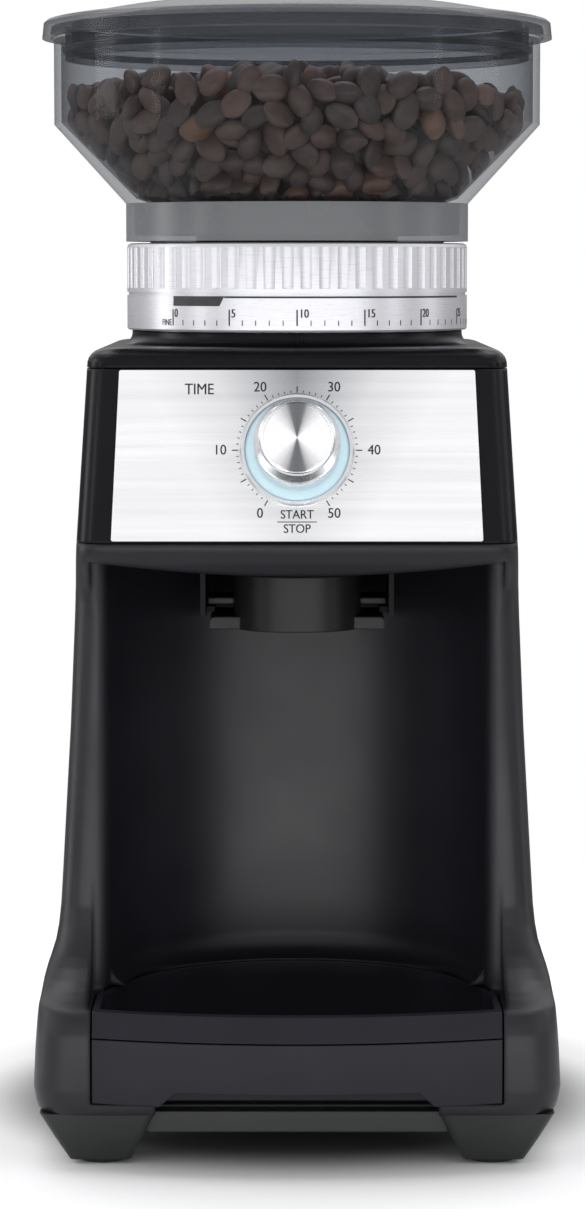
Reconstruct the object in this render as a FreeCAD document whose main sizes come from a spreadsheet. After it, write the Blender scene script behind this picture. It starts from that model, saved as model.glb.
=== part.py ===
import FreeCAD, Part
import math
import os

import Sketcher

Vec = FreeCAD.Vector
Rot = FreeCAD.Rotation

# Burr coffee grinder, free-standing, in millimetres.
# Origin: on the surface it stands on, in the middle of its bounding box.
# +Z up, the front (dial, outlet and grounds tray) faces -Y.

doc = FreeCAD.newDocument("BurrCoffeeGrinder")
sheet = doc.addObject("Spreadsheet::Sheet", "Dims")

DIMENSIONS = [
    ("overall_height", 345), ("half_depth", 108),
    # hopper and lid
    ("hopper_rad", 75), ("hopper_wall", 2.2), ("hopper_top", 331), ("hopper_fold", 305.2),
    ("cone_foot", 281), ("neck_rad", 53), ("neck_foot", 269.4), ("throat_rad", 29),
    ("throat_foot", 262), ("floor_inner", 275.5), ("bayonet_rad", 45.2), ("bayonet_foot", 257.5),
    ("lid_rad", 78.6), ("lid_rim_foot", 331.4), ("lid_skirt_rad", 71.5), ("lid_skirt_foot", 325),
    ("seal_rad", 72.4),
    # grind size ring
    ("ring_rad", 52.75), ("ring_bore", 47.6), ("ring_foot", 242.3), ("ring_top", 268.8),
    ("flute_count", 60), ("flute_foot", 255.1), ("flute_top", 267.5), ("ring_groove", 252.9),
    ("ring_skirt_rad", 48.2), ("ring_skirt_foot", 238.7),
    # top cover and head
    ("cover_top", 238), ("cover_seam", 231.8), ("neck_top", 242), ("cover_neck_rad", 51.2),
    ("cover_neck_bore", 48.8), ("cover_hole_rad", 45), ("wall", 2.4), ("seam_gap", 0.35),
    ("head_foot", 181), ("lean_deg", 13.35), ("split_depth", 25),
    # front panel and dial, centred on dial_height
    ("dial_height", 208), ("panel_depth", 69.13), ("panel_top_half", 52.3), ("panel_low_half", 54.4),
    ("panel_top", 231.3), ("panel_low", 181.7), ("bezel_rad", 16.8), ("glow_rad", 14.8),
    ("knob_rad", 12.6), ("knob_len", 21), ("face_rad", 10.6), ("encoder_rad", 3),
    # cup space under the head
    ("scoop_rad", 56), ("scoop_centre", 64), ("deck", 47), ("chin_foot", 171), ("scoop_fillet", 7),
    # outlet, cradle
    ("outlet_depth", 46), ("chute_rad", 11), ("chute_bore", 9), ("chute_foot", 172.4),
    ("collar_rad", 19.1), ("collar_bore", 15), ("cradle_foot", 153.8), ("cradle_top", 170.3),
    ("wing_half", 26.15), ("wing_top", 157.6), ("rail_half", 28.8),
    # grounds tray
    ("tray_half", 59.4), ("tray_top", 46.7), ("tray_seam", 39.4), ("tray_foot", 20.4),
    ("tray_back_rad", 58), ("tray_back", 17), ("tray_bow", 8.4), ("tray_wall", 2),
    ("notch_top", 24.6), ("notch_half_top", 35), ("notch_half_low", 41),
    # base
    ("pan_top", 16.4), ("pan_foot", 13.4), ("casing_foot", 16.4), ("pad_high", 1.5), ("bar_foot", 9.6), ("bar_top", 15.8),
    # burr set
    ("chamber_rad", 36), ("chamber_bore", 33), ("chamber_floor", 189), ("chamber_deck", 193),
    ("burr_foot", 205), ("burr_top", 225), ("burr_rad", 21.8), ("burr_nose", 10.2),
    ("ring_burr_rad", 26), ("carrier_rad", 30), ("shaft_rad", 5), ("carrier_rim", 47.0),
    # two-stage spur gearbox
    ("gear_module_one", 0.8), ("gear_module_two", 1.0), ("pinion_teeth", 14), ("wheel_teeth", 56),
    ("idler_x", 17.6), ("idler_y", 30.24), ("motor_y", 52), ("stage_one_foot", 163.5),
    ("stage_two_foot", 177.2), ("plate_foot", 174.7), ("case_top", 188.6), ("lower_case_foot", 160),
    # motor
    ("motor_rad", 28), ("motor_foot", 74), ("motor_shaft_rad", 2.5),
]
for row, (alias, value) in enumerate(DIMENSIONS, 1):
    sheet.set("A%d" % row, alias)
    sheet.set("B%d" % row, str(value))
    sheet.setAlias("B%d" % row, alias)
doc.recompute()


class Dim:
    """A length that keeps its spreadsheet expression beside its value."""

    def __init__(self, text, value):
        self.text, self.value = text, float(value)

    def _mix(self, other, sign, swap=False):
        a, b = (other, self) if swap else (self, other)
        at, av = (a.text, a.value) if isinstance(a, Dim) else (repr(float(a)), float(a))
        bt, bv = (b.text, b.value) if isinstance(b, Dim) else (repr(float(b)), float(b))
        got = {"+": av + bv, "-": av - bv, "*": av * bv, "/": av / bv if bv else 0.0}[sign]
        return Dim("(%s %s %s)" % (at, sign, bt), got)

    def __add__(self, o): return self._mix(o, "+")
    def __radd__(self, o): return self._mix(o, "+", True)
    def __sub__(self, o): return self._mix(o, "-")
    def __rsub__(self, o): return self._mix(o, "-", True)
    def __mul__(self, o): return self._mix(o, "*")
    def __rmul__(self, o): return self._mix(o, "*", True)
    def __truediv__(self, o): return self._mix(o, "/")
    def __neg__(self): return self._mix(0.0, "-", True)


class Dims:
    """Reads the spreadsheet: D.alias is the length with its expression."""

    def __getattr__(self, alias):
        return Dim("Dims." + alias, getattr(sheet, alias))


D = Dims()


def num(x):
    return x.value if isinstance(x, Dim) else float(x)


def bind(obj, prop, x):
    """Sets a property, through an expression where the size comes from the sheet."""
    if isinstance(x, Dim):
        obj.setExpression(prop, x.text)
    elif prop.startswith("Placement.Base."):
        base = obj.Placement.Base
        setattr(base, prop[-1], float(x))
        obj.Placement = FreeCAD.Placement(base, obj.Placement.Rotation)
    else:
        setattr(obj, prop, x)


def place(obj, x=0, y=0, z=0, rot=None):
    obj.Placement = FreeCAD.Placement(Vec(num(x), num(y), num(z)), rot or Rot())
    for axis, value in (("x", x), ("y", y), ("z", z)):
        if isinstance(value, Dim):
            bind(obj, "Placement.Base." + axis, value)
    return obj


TO_Y = Rot(Vec(1, 0, 0), -90)  # local Z along +Y
TO_X = Rot(Vec(0, 1, 0), 90)  # local Z along +X
serial = [0]


def name_for(stem):
    serial[0] += 1
    return "%s_%d" % (stem, serial[0])


def cyl(r, length, x=0, y=0, z=0, rot=None):
    o = doc.addObject("Part::Cylinder", name_for("cyl"))
    bind(o, "Radius", r)
    bind(o, "Height", length)
    return place(o, x, y, z, rot)


def cone(r1, r2, length, x=0, y=0, z=0, rot=None):
    o = doc.addObject("Part::Cone", name_for("cone"))
    bind(o, "Radius1", r1)
    bind(o, "Radius2", r2)
    bind(o, "Height", length)
    return place(o, x, y, z, rot)


def box(lx, ly, lz, x=0, y=0, z=0, rot=None):
    o = doc.addObject("Part::Box", name_for("box"))
    bind(o, "Length", lx)
    bind(o, "Width", ly)
    bind(o, "Height", lz)
    return place(o, x, y, z, rot)


def span(x0, x1, y0, y1, z0, z1):
    """A box from its two corners."""
    return box(x1 - x0, y1 - y0, z1 - z0, x0, y0, z0)


def solid(shape, stem="form"):
    o = doc.addObject("Part::Feature", name_for(stem))
    o.Shape = shape
    return o


def fuse(*objs):
    o = doc.addObject("Part::MultiFuse", name_for("fuse"))
    o.Shapes = list(objs)
    return o


def cut(base, *tools):
    o = doc.addObject("Part::Cut", name_for("cut"))
    o.Base = base
    o.Tool = tools[0] if len(tools) == 1 else fuse(*tools)
    return o


def common(a, b):
    o = doc.addObject("Part::MultiCommon", name_for("common"))
    o.Shapes = [a, b]
    return o


PARTS = {}


def part(label, obj):
    obj.Label = label
    PARTS[label] = obj
    return obj


def origin_plane(body, role):
    return [f for f in body.Origin.OriginFeatures if f.Role == role][0]


def draw(body, role, loops):
    """A sketch of closed outlines whose corners are held by dimensions from the sheet."""
    sk = body.newObject("Sketcher::SketchObject", name_for("sketch"))
    sk.AttachmentSupport = (origin_plane(body, role), "")
    sk.MapMode = "FlatFace"
    for loop in loops:
        at, n = sk.GeometryCount, len(loop)
        pts = [Vec(num(a), num(b), 0) for a, b in loop]
        for i in range(n):
            sk.addGeometry(Part.LineSegment(pts[i], pts[(i + 1) % n]))
        for i in range(n):
            sk.addConstraint(Sketcher.Constraint("Coincident", at + i, 2, at + (i + 1) % n, 1))
        for i in range(n):
            for k, kind in ((0, "DistanceX"), (1, "DistanceY")):
                value = num(loop[i][k])
                if abs(value) < 1e-9:
                    sk.addConstraint(Sketcher.Constraint("PointOnObject", at + i, 1, -2 if k == 0 else -1))
                    continue
                c = sk.addConstraint(Sketcher.Constraint(kind, -1, 1, at + i, 1, value))
                if isinstance(loop[i][k], Dim):
                    sk.setExpression("Constraints[%d]" % c, loop[i][k].text)
    return sk


def turned(*loops):
    """A body revolved about Z from its half section, drawn as (radius, height) corners."""
    body = doc.addObject("PartDesign::Body", name_for("turned"))
    sk = draw(body, "XZ_Plane", loops)
    rev = body.newObject("PartDesign::Revolution", name_for("revolve"))
    rev.Profile = sk
    rev.ReferenceAxis = (sk, ["V_Axis"])
    rev.Angle = 360
    body.Tip = rev
    return body


def padded(loops, length, z=0):
    """A body padded up from outlines on the XY plane."""
    body = doc.addObject("PartDesign::Body", name_for("padded"))
    sk = draw(body, "XY_Plane", loops)
    pad = body.newObject("PartDesign::Pad", name_for("pad"))
    pad.Profile = sk
    bind(pad, "Length", length)
    body.Tip = pad
    return place(body, 0, 0, z)


def tube(r_out, r_in, z0, z1, x=0, y=0):
    return place(turned([(r_in, z0), (r_out, z0), (r_out, z1), (r_in, z1)]), x, y, 0)


# ---------------------------------------------------------------- casing form
# The outside of the casing as level sections:
# height, half width, front, rear, front corner radius, rear corner radius.
ENVELOPE = [
    (16.4, 75.1, -97.9, 105.9, 11.0, 26.0),
    (17.3, 75.8, -98.6, 106.8, 11.5, 26.5),
    (19.6, 76.5, -99.2, 107.5, 12.0, 27.0),
    (23.5, 77.1, -99.6, 108.0, 12.0, 27.0),
    (34.0, 76.6, -99.5, 107.8, 12.0, 27.0),
    (40.0, 76.2, -99.2, 107.4, 12.0, 27.0),
    (43.0, 76.0, -98.3, 107.2, 12.0, 27.0),
    (45.4, 75.8, -97.0, 106.8, 11.5, 27.0),
    (46.7, 75.65, -95.6, 106.5, 11.0, 27.0),
    (47.4, 75.55, -93.0, 106.3, 10.6, 27.0),
    (48.3, 75.45, -88.5, 106.0, 10.2, 27.0),
    (49.8, 75.3, -83.6, 105.5, 10.0, 27.0),
    (52.0, 75.0, -79.0, 104.7, 9.8, 27.0),
    (55.0, 74.2, -75.0, 103.6, 9.6, 27.0),
    (58.0, 73.2, -72.2, 102.5, 9.4, 27.0),
    (61.5, 72.1, -70.0, 101.4, 9.2, 27.0),
    (66.0, 71.3, -68.0, 100.4, 9.0, 27.0),
    (72.0, 70.7, -66.7, 99.6, 9.0, 27.0),
    (82.0, 70.1, -66.0, 98.8, 9.0, 27.0),
    (125.0, 67.6, -66.0, 95.8, 9.0, 27.0),
    (158.0, 66.15, -66.0, 93.6, 9.0, 27.0),
    (163.0, 65.95, -66.5, 93.3, 9.0, 27.0),
    (167.0, 65.75, -68.0, 93.1, 9.0, 27.0),
    (171.0, 65.55, -70.6, 92.9, 9.0, 27.0),
    (175.0, 65.35, -73.4, 92.6, 9.0, 27.0),
    (178.5, 65.15, -75.2, 92.4, 9.0, 27.0),
    (181.0, 65.0, -75.53, 92.2, 9.0, 27.0),
    (231.8, 62.3, -63.48, 89.4, 9.0, 27.0),
]


def envelope(z):
    """The casing's section at a height, between the listed ones."""
    rows = ENVELOPE
    if z <= rows[0][0]:
        return rows[0][1:]
    for a, b in zip(rows, rows[1:]):
        if z <= b[0]:
            k = (z - a[0]) / (b[0] - a[0])
            return tuple(p + (q - p) * k for p, q in zip(a[1:], b[1:]))
    a, b = rows[-2], rows[-1]
    k = (z - a[0]) / (b[0] - a[0])
    return tuple(p + (q - p) * k for p, q in zip(a[1:], b[1:]))


def inner_section(z, off, rise):
    """The section inside the wall: clear of the outside by off sideways and rise up and down."""
    near = [envelope(z + dz) for dz in (-rise, -rise / 2, 0, rise / 2, rise)]
    return (min(n[0] for n in near) - off, max(n[1] for n in near) + off,
            min(n[2] for n in near) - off, max(near[2][3] - off, 2.0), max(near[2][4] - off, 3.0))


def section_wire(z, half, front, rear, rf, rr):
    """A level rounded rectangle: four sides and four corner arcs."""
    q = math.sqrt(0.5)

    def arc(cx, cy, r, a0):
        p = [Vec(cx + r * math.cos(math.radians(a)), cy + r * math.sin(math.radians(a)), z)
             for a in (a0, a0 + 45, a0 + 90)]
        return Part.Arc(*p).toShape(), p[0], p[2]

    corners = [arc(half - rf, front + rf, rf, -90), arc(half - rr, rear - rr, rr, 0),
               arc(-half + rr, rear - rr, rr, 90), arc(-half + rf, front + rf, rf, 180)]
    edges = []
    for i, (e, p0, p1) in enumerate(corners):
        edges += [e, Part.makeLine(p1, corners[(i + 1) % 4][1])]
    return Part.Wire(edges)


def casing(z0, z1, off=0.0, rise=0.0):
    """The casing's solid form between two heights, drawn in by off."""
    levels = [z0] + [r[0] for r in ENVELOPE if z0 + 0.3 < r[0] < z1 - 0.3] + [z1]
    wires = [section_wire(z, *(inner_section(z, off, rise) if off else envelope(z))) for z in levels]
    return Part.makeLoft(wires, True, True)


# ---------------------------------------------------------------- casing shells
wall = num(D.wall)
gap = num(D.seam_gap) / 2
head_foot, cover_seam, split = num(D.head_foot), num(D.cover_seam), num(D.split_depth)
deck, chin, scoop_r, scoop_y = num(D.deck), num(D.chin_foot), num(D.scoop_rad), -num(D.scoop_centre)
LEAN = FreeCAD.Placement(Vec(0, -num(D.panel_depth), num(D.dial_height)), Rot(Vec(1, 0, 0), 90 - num(D.lean_deg)))


def block(x0, x1, y0, y1, z0, z1):
    return Part.makeBox(x1 - x0, y1 - y0, z1 - z0, Vec(x0, y0, z0))


def outline(points, z, height):
    """A prism from corners given as (x, y), with (x, y, 'via') points making arcs."""
    edges, here, i = [], Vec(points[0][0], points[0][1], z), 1
    while i <= len(points):
        p = points[i % len(points)]
        if len(p) == 3:
            end = points[(i + 1) % len(points)]
            to = Vec(end[0], end[1], z)
            edges.append(Part.Arc(here, Vec(p[0], p[1], z), to).toShape())
            i += 2
        else:
            to = Vec(p[0], p[1], z)
            edges.append(Part.makeLine(here, to))
            i += 1
        here = to
    return Part.Face(Part.Wire(edges)).extrude(Vec(0, 0, height))


def scoop(off):
    """The round-backed space for the cup: a rounded-bottom cylinder, its flared mouth and the arched top."""
    r, low, f = scoop_r + off, deck - off, num(D.scoop_fillet) + off
    c = math.sqrt(0.5)
    arc = Part.Arc(Vec(r - f, 0, low), Vec(r - f + f * c, 0, low + f - f * c), Vec(r, 0, low + f)).toShape()
    half = Part.Wire([Part.makeLine(Vec(0, 0, low), Vec(r - f, 0, low)), arc,
                      Part.makeLine(Vec(r, 0, low + f), Vec(r, 0, 186)),
                      Part.makeLine(Vec(r, 0, 186), Vec(0, 0, 186)),
                      Part.makeLine(Vec(0, 0, 186), Vec(0, 0, low))])
    bowl = Part.Face(half).revolve(Vec(0, 0, 0), Vec(0, 0, 1), 360)
    bowl.translate(Vec(0, scoop_y, 0))
    m, my = scoop_r + 4.92, scoop_y + 3  # centre of the mouth's rounding
    q = 5.0 - off
    inx = m - q
    side = m + off
    pts = [(-side, -130), (side, -130), (side, my - q)]
    if off:
        pts += [(m, my - q)]
    pts += [(m - q * c, my - q * c, 'via'), (inx, my), (-inx, my), (-m + q * c, my - q * c, 'via'), (-m, my - q)]
    if off:
        pts += [(-side, my - q)]
    mouth = outline(pts, low, 186 - low)
    top = chin + off
    rise = 63.0 ** 2 / 816.0
    arch = Part.Wire([Part.Arc(Vec(-63, -140, top + rise), Vec(0, -140, top), Vec(63, -140, top + rise)).toShape(),
                      Part.makeLine(Vec(63, -140, top + rise), Vec(70, -140, top + rise + 1)),
                      Part.makeLine(Vec(70, -140, top + rise + 1), Vec(70, -140, 20)),
                      Part.makeLine(Vec(70, -140, 20), Vec(-70, -140, 20)),
                      Part.makeLine(Vec(-70, -140, 20), Vec(-70, -140, top + rise + 1)),
                      Part.makeLine(Vec(-70, -140, top + rise + 1), Vec(-63, -140, top + rise))])
    under = Part.Face(arch).extrude(Vec(0, 220, 0))
    return bowl.fuse(mouth).common(under)


def tray_plan(off, z, height, front=None):
    """The tray's outline: straight sides, a round back, and a bowed front unless it is open."""
    half, r, back = num(D.tray_half) + off, num(D.tray_back_rad) + off, -num(D.tray_back) + off
    cy = back - r
    y1 = cy + 9.0
    x1 = math.sqrt(r * r - 81.0)
    pts = [(half, y1 - 4.0), (x1, y1), (0, back, 'via'), (-x1, y1), (-half, y1 - 4.0)]
    if front is None:
        pts += [(-half, -135), (half, -135)]
    else:
        bow = num(D.tray_bow)
        pts += [(-half, front + bow), (0, front, 'via'), (half, front + bow)]
        pts = pts[:-1] + [(half, front + bow)]
    return outline(pts, z, height)


space, space_wall = scoop(0.0), scoop(wall)
bay_floor = num(D.tray_foot) - 0.5
bay = tray_plan(0.55, bay_floor, deck + 0.3 - bay_floor)
bay_wall = tray_plan(0.55 + wall, 15.0, deck + 0.3 + wall - 15.0)

low_form = casing(num(D.casing_foot), head_foot - gap).common(block(-90, 90, -120, split - gap, 0, 240))
hollow = casing(15.4, head_foot + 0.5, wall, 2.2).cut(space_wall).cut(bay_wall)
front = low_form.cut(space).cut(bay).cut(hollow)
# the floor strip under the tray is open in the middle, behind the finger notch
open_half = num(D.notch_half_low) + 0.2
front = front.cut(block(-open_half, open_half, -130, -80, 12, bay_floor + 0.2))
front = front.cut(Part.makeCylinder(num(D.chute_rad) + 0.4, 30, Vec(0, -num(D.outlet_depth), 165)))
bosses = []
for x in (-70.2, 70.2):
    boss = Part.makeCylinder(4.2, 20, Vec(x, -45, 16.4)).cut(Part.makeCylinder(1.5, 15, Vec(x, -45, 16.4)))
    bosses.append(boss.common(casing(16.4, 60)))
part("front_housing", solid(front.fuse(bosses).removeSplitter()))

rear = casing(num(D.casing_foot), cover_seam - gap).cut(casing(15.4, cover_seam + 0.5, wall, 2.0))
rear = rear.common(block(-90, 90, split + gap, 120, 0, 240))
rear = rear.cut(Part.makeCylinder(5.3, 20, Vec(36, 95, 33), Vec(0, 1, 0))).cut(Part.makeCylinder(7.7, 5, Vec(36, num(D.half_depth) - 1.15, 33), Vec(0, 1, 0)))
for x in (-70.2, 70.2):
    boss = Part.makeCylinder(4.2, 20, Vec(x, 50, 16.4)).cut(Part.makeCylinder(1.5, 15, Vec(x, 50, 16.4)))
    rear = rear.fuse(boss.common(casing(16.4, 60)))
# cooling slots low in the back
for k in range(-4, 5):
    rear = rear.cut(block(k * 7 - 1.2, k * 7 + 1.2, 80, 120, 52, 76))
part("rear_housing", solid(rear.removeSplitter()))

head = casing(head_foot + gap, cover_seam - gap).cut(casing(head_foot - 0.5, cover_seam + 0.5, wall, 0.6))
lip = casing(178.9, 184.5, wall + 0.08, 2.2).fuse(casing(181.8, 184.5, wall - 0.1, 0.6))
lip = lip.cut(casing(178.0, 185.0, wall + 1.5, 2.2)).cut(space_wall)
head = head.fuse(lip).common(block(-90, 90, -120, split - gap, 0, 240))
lean = math.cos(math.radians(num(D.lean_deg)))
v_top, v_low = ((num(D.panel_top) - num(D.dial_height)) / lean, (num(D.panel_low) - num(D.dial_height)) / lean)
p_top, p_low = num(D.panel_top_half), num(D.panel_low_half)


def panel_form(off, z0, z1):
    plate = outline([(-p_low - off, v_low - off), (p_low + off, v_low - off),
                     (p_top + off, v_top + off), (-p_top - off, v_top + off)], z0, z1 - z0)
    uprights = [e for e in plate.Edges if abs(e.Vertexes[0].X - e.Vertexes[1].X) < 1e-6
                and abs(e.Vertexes[0].Y - e.Vertexes[1].Y) < 1e-6]
    return plate.makeFillet(0.6, uprights)


recess = panel_form(0.12, -1.1, 6.0)
recess.Placement = LEAN
dial_hole = Part.makeCylinder(15.7, 12, Vec(0, 0, -8))
dial_hole.Placement = LEAN
part("head_shell", solid(head.cut(recess).cut(dial_hole).removeSplitter()))

panel = panel_form(0.0, -1.1, 0.35).cut(Part.makeCylinder(15.7, 12, Vec(0, 0, -8)))
top_edges = [e for e in panel.Edges if all(abs(v.Z - 0.35) < 1e-6 for v in e.Vertexes) and e.Length > 3]
o = solid(panel)
o.Placement = LEAN
part("front_panel", o)

# ---------------------------------------------------------------- top cover
COVER = [(cover_seam + gap, 0.0), (233.6, 0.12), (234.9, 0.55), (236.0, 1.35), (236.9, 2.5), (237.55, 4.0),
         (237.9, 5.8), (num(D.cover_top), 7.6)]


def cover_form(off, drop):
    wires = []
    for z, r in COVER:
        half, front_y, rear_y, rf, rr = envelope(cover_seam)
        s = r + off
        wires.append(section_wire(z - drop, half - s, front_y + s, rear_y - s, max(rf - s * 0.4, 3), max(rr - s, 6)))
    return Part.makeLoft(wires, True, True)


inner_top = cover_form(wall, wall)
below = section_wire(cover_seam - 4, *(lambda e: (e[0] - wall, e[1] + wall, e[2] - wall, e[3] - wall, e[4] - wall))(envelope(cover_seam)))
foot = Part.Face(section_wire(cover_seam + gap - wall, *(lambda e: (e[0] - wall, e[1] + wall, e[2] - wall, e[3] - wall * 0.4, e[4] - wall))(envelope(cover_seam)))).extrude(Vec(0, 0, wall))
cover = cover_form(0.0, 0.0).cut(inner_top)
rim_out = Part.Face(section_wire(228.6, *(lambda e: (e[0] - wall - 0.35, e[1] + wall + 0.75, e[2] - wall - 0.35, 6.4, 24.0))(envelope(cover_seam)))).extrude(Vec(0, 0, 5.0))
rim_in = Part.Face(section_wire(228.0, *(lambda e: (e[0] - wall - 1.7, e[1] + wall + 2.1, e[2] - wall - 1.7, 5.0, 22.6))(envelope(cover_seam)))).extrude(Vec(0, 0, 6.0))
rim = rim_out.cut(rim_in)
web = cover_form(wall - 0.05, wall - 0.05).cut(cover_form(wall + 1.6, wall - 0.05)).common(block(-90, 90, -120, 120, cover_seam + gap + 0.05, 233.8))
cover = cover.fuse(rim).fuse(web)
neck = num(D.cover_neck_rad)
cover = cover.fuse(Part.makeCylinder(neck, num(D.neck_top) - 236.5, Vec(0, 0, 236.5)))
cover = cover.cut(Part.makeCylinder(num(D.cover_neck_bore), 10, Vec(0, 0, 238.0)))
cover = cover.cut(Part.makeCylinder(num(D.cover_hole_rad), 30, Vec(0, 0, 225)))
# the neck flares into the cover's top


def flare(r, foot, head_z):
    """A ring with a hollow quarter-round outside, radius r, standing on the cover's top."""
    cr, cz = neck + 3.3, num(D.cover_top) + 3.3
    arc_face = Part.Face(Part.Wire([
        Part.makeLine(Vec(neck - 0.6, 0, foot), Vec(cr, 0, foot)), Part.makeLine(Vec(cr, 0, foot), Vec(cr, 0, cz - r)),
        Part.Arc(Vec(cr, 0, cz - r), Vec(cr - r * math.sqrt(0.5), 0, cz - r * math.sqrt(0.5)), Vec(cr - r, 0, cz)).toShape(),
        Part.makeLine(Vec(cr - r, 0, cz), Vec(cr - r, 0, head_z)), Part.makeLine(Vec(cr - r, 0, head_z), Vec(neck - 0.6, 0, head_z)),
        Part.makeLine(Vec(neck - 0.6, 0, head_z), Vec(neck - 0.6, 0, foot))]))
    return arc_face.revolve(Vec(0, 0, 0), Vec(0, 0, 1), 360)


cover = cover.fuse(flare(3.3, 237.2, 241.5))
# the pointer: two small upright ribs down the front of the neck
raised = flare(2.8, 237.2, 241.6)
for x in (-1.35, 1.35):
    cover = cover.fuse(raised.common(block(x - 0.42, x + 0.42, -60, -neck + 1.0, 237.2, 241.6)))
part("top_cover", solid(cover.removeSplitter()))

# ---------------------------------------------------------------- base
pan_outer = Part.Face(section_wire(num(D.pan_foot), 73.4, -84.0, 104.2, 9.0, 25.0)).extrude(Vec(0, 0, num(D.pan_top) - num(D.pan_foot)))
legs = []
for sx in (-1, 1):
    for sy in (-1, 1):
        y_out, y_in = (-96.6, -66.0) if sy < 0 else (104.4, 74.0)

        def leg_wire(z, x0, x1, ya, yb, r):
            cx, cy = sx * (x0 + x1) / 2, (ya + yb) / 2
            w = section_wire(z, (x1 - x0) / 2, -abs(yb - ya) / 2, abs(yb - ya) / 2, r, r)
            w.translate(Vec(cx, cy, 0))
            return w

        legs.append(Part.makeLoft([
            leg_wire(num(D.pan_top), 41.4, 75.0, y_out, y_in, 2.6),
            leg_wire(9.0, 44.9, 71.0, y_out + (3.0 if sy < 0 else -3.0), y_in - (2.6 if sy < 0 else -2.6), 2.3),
            leg_wire(num(D.pad_high), 48.6, 66.6, y_out + (6.4 if sy < 0 else -6.4), y_in - (6.0 if sy < 0 else -6.0), 2.0)], True, True))
bar = block(-44.0, 44.0, -90.0, -85.5, num(D.bar_foot), num(D.bar_top))
pan = pan_outer.fuse(legs).fuse(bar)
for x in (-70.2, 70.2):
    for y in (-45, 50):
        pan = pan.cut(Part.makeCylinder(1.7, 10, Vec(x, y, 12))).cut(Part.makeCylinder(3.1, 1.4, Vec(x, y, 12.9)))
part("base_pan", solid(pan.removeSplitter()))

pads = [cyl(7.2, D.pad_high, sx * 57.2, y, 0) for sx in (-1, 1) for y in (-80.6, 88.6)]
part("foot_pads", fuse(*pads))


def screws(label, places, shank, length, head_r, head_len, up=True):
    """Pan-head screws standing along Z, all in one piece list."""
    out = []
    for x, y, z in places:
        h0 = z - head_len if up else z
        s0 = z if up else z - length
        out.append(fuse(cyl(head_r, head_len, x, y, h0), cyl(shank, length + 0.2, x, y, s0 - (0.2 if up else 0.0))))
    part(label, fuse(*out))


screws("base_screws", [(sx * 70.2, y, 14.3) for sx in (-1, 1) for y in (-45, 50)], 1.5, 13.0, 2.9, 1.6)

# cable entry in the back: a flanged bush with the cable's bore
gland = turned([(3.6, 0), (7.6, 0), (7.6, 1.0), (5.2, 1.0), (5.2, 3.05), (6.6, 3.05), (6.6, 5.0), (5.2, 5.6), (5.2, 7.2), (3.6, 7.2)])
place(gland, 36, num(D.half_depth) - 0.1, 33, Rot(Vec(1, 0, 0), 90))
part("cord_inlet", gland)

# ---------------------------------------------------------------- dial and start button
def on_panel(obj, x=0.0, v=0.0, depth=0.0):
    """Stands a piece drawn about Z on the leaning panel: Z out of the panel, v up along it."""
    at = LEAN.multVec(Vec(x, v, depth))
    obj.Placement = FreeCAD.Placement(at, LEAN.Rotation)
    return obj


part("dial_bezel", on_panel(turned([(15.25, -2.6), (15.6, -2.6), (15.6, 0.35), (D.bezel_rad, 0.35),
                                    (D.bezel_rad, 1.5), (D.bezel_rad - 0.5, 2.1), (15.5, 2.1), (15.25, 1.8)])))
part("light_ring", on_panel(turned([(9.0, -2.2), (15.2, -2.2), (15.2, 0.7), (D.glow_rad, 0.95), (9.0, 0.95)])))
part("encoder_shaft", on_panel(turned([(0, -13.0), (D.encoder_rad, -13.0), (D.encoder_rad, 15.4),
                                       (D.encoder_rad - 0.4, 15.8), (0, 15.8)])))
part("encoder_plunger", on_panel(turned([(D.encoder_rad + 0.06, -12.6), (4.6, -12.6), (4.6, -10.4), (4.0, -10.4),
                                         (4.0, -6.4), (D.encoder_rad + 0.06, -6.4)])))
knob = turned([(D.encoder_rad, 2.9), (D.knob_rad - 0.5, 2.9), (D.knob_rad, 3.3), (D.knob_rad, 15.6),
               (D.knob_rad - 0.25, 16.5), (D.face_rad + 0.5, 19.9), (D.face_rad + 0.1, 20.3), (D.face_rad, 20.3),
               (D.face_rad, 18.4), (0, 18.4), (0, 15.8), (D.encoder_rad, 15.8)])
part("timer_knob", on_panel(knob))
part("knob_cap", on_panel(turned([(0, 18.4), (D.face_rad, 18.4), (D.face_rad, 20.6), (D.face_rad - 0.4, D.knob_len - 0.1),
                                  (D.face_rad - 0.9, D.knob_len - 0.25), (0, D.knob_len - 0.55)])))
case = cut(fuse(box(15, 15, 9.6, -7.5, -7.5, -15.6), cyl(5.6, 4.6, 0, 0, -6.2)),
           cyl(4.85, 5.0, 0, 0, -14.8), cyl(4.25, 14, 0, 0, -10.2))
part("timer_encoder", on_panel(case))
board = fuse(box(84, 28, 1.6, -42, -5, -17.2), box(16, 12, 6.0, 16, -2, -23.2), box(11, 9, 3.4, -34, 2, -20.6),
             box(5, 5, 3.0, -18, 14, -17.2 + 1.6), box(8, 4, 5.2, 28, 16, -17.2 + 1.6), cyl(4, 7.5, -24, 0.5, -24.6))
part("control_board", on_panel(board))

# ---------------------------------------------------------------- power board and switch
pb = fuse(box(1.6, 62, 74, -49, 6, 68), box(20, 24, 22, -47.5, 10, 74), box(11, 17, 16, -47.5, 44, 76),
          cyl(6.3, 15, -47.5, 22, 118, TO_X), cyl(5.2, 12, -47.5, 42, 112, TO_X), box(8, 30, 12, -47.5, 20, 128))
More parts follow.
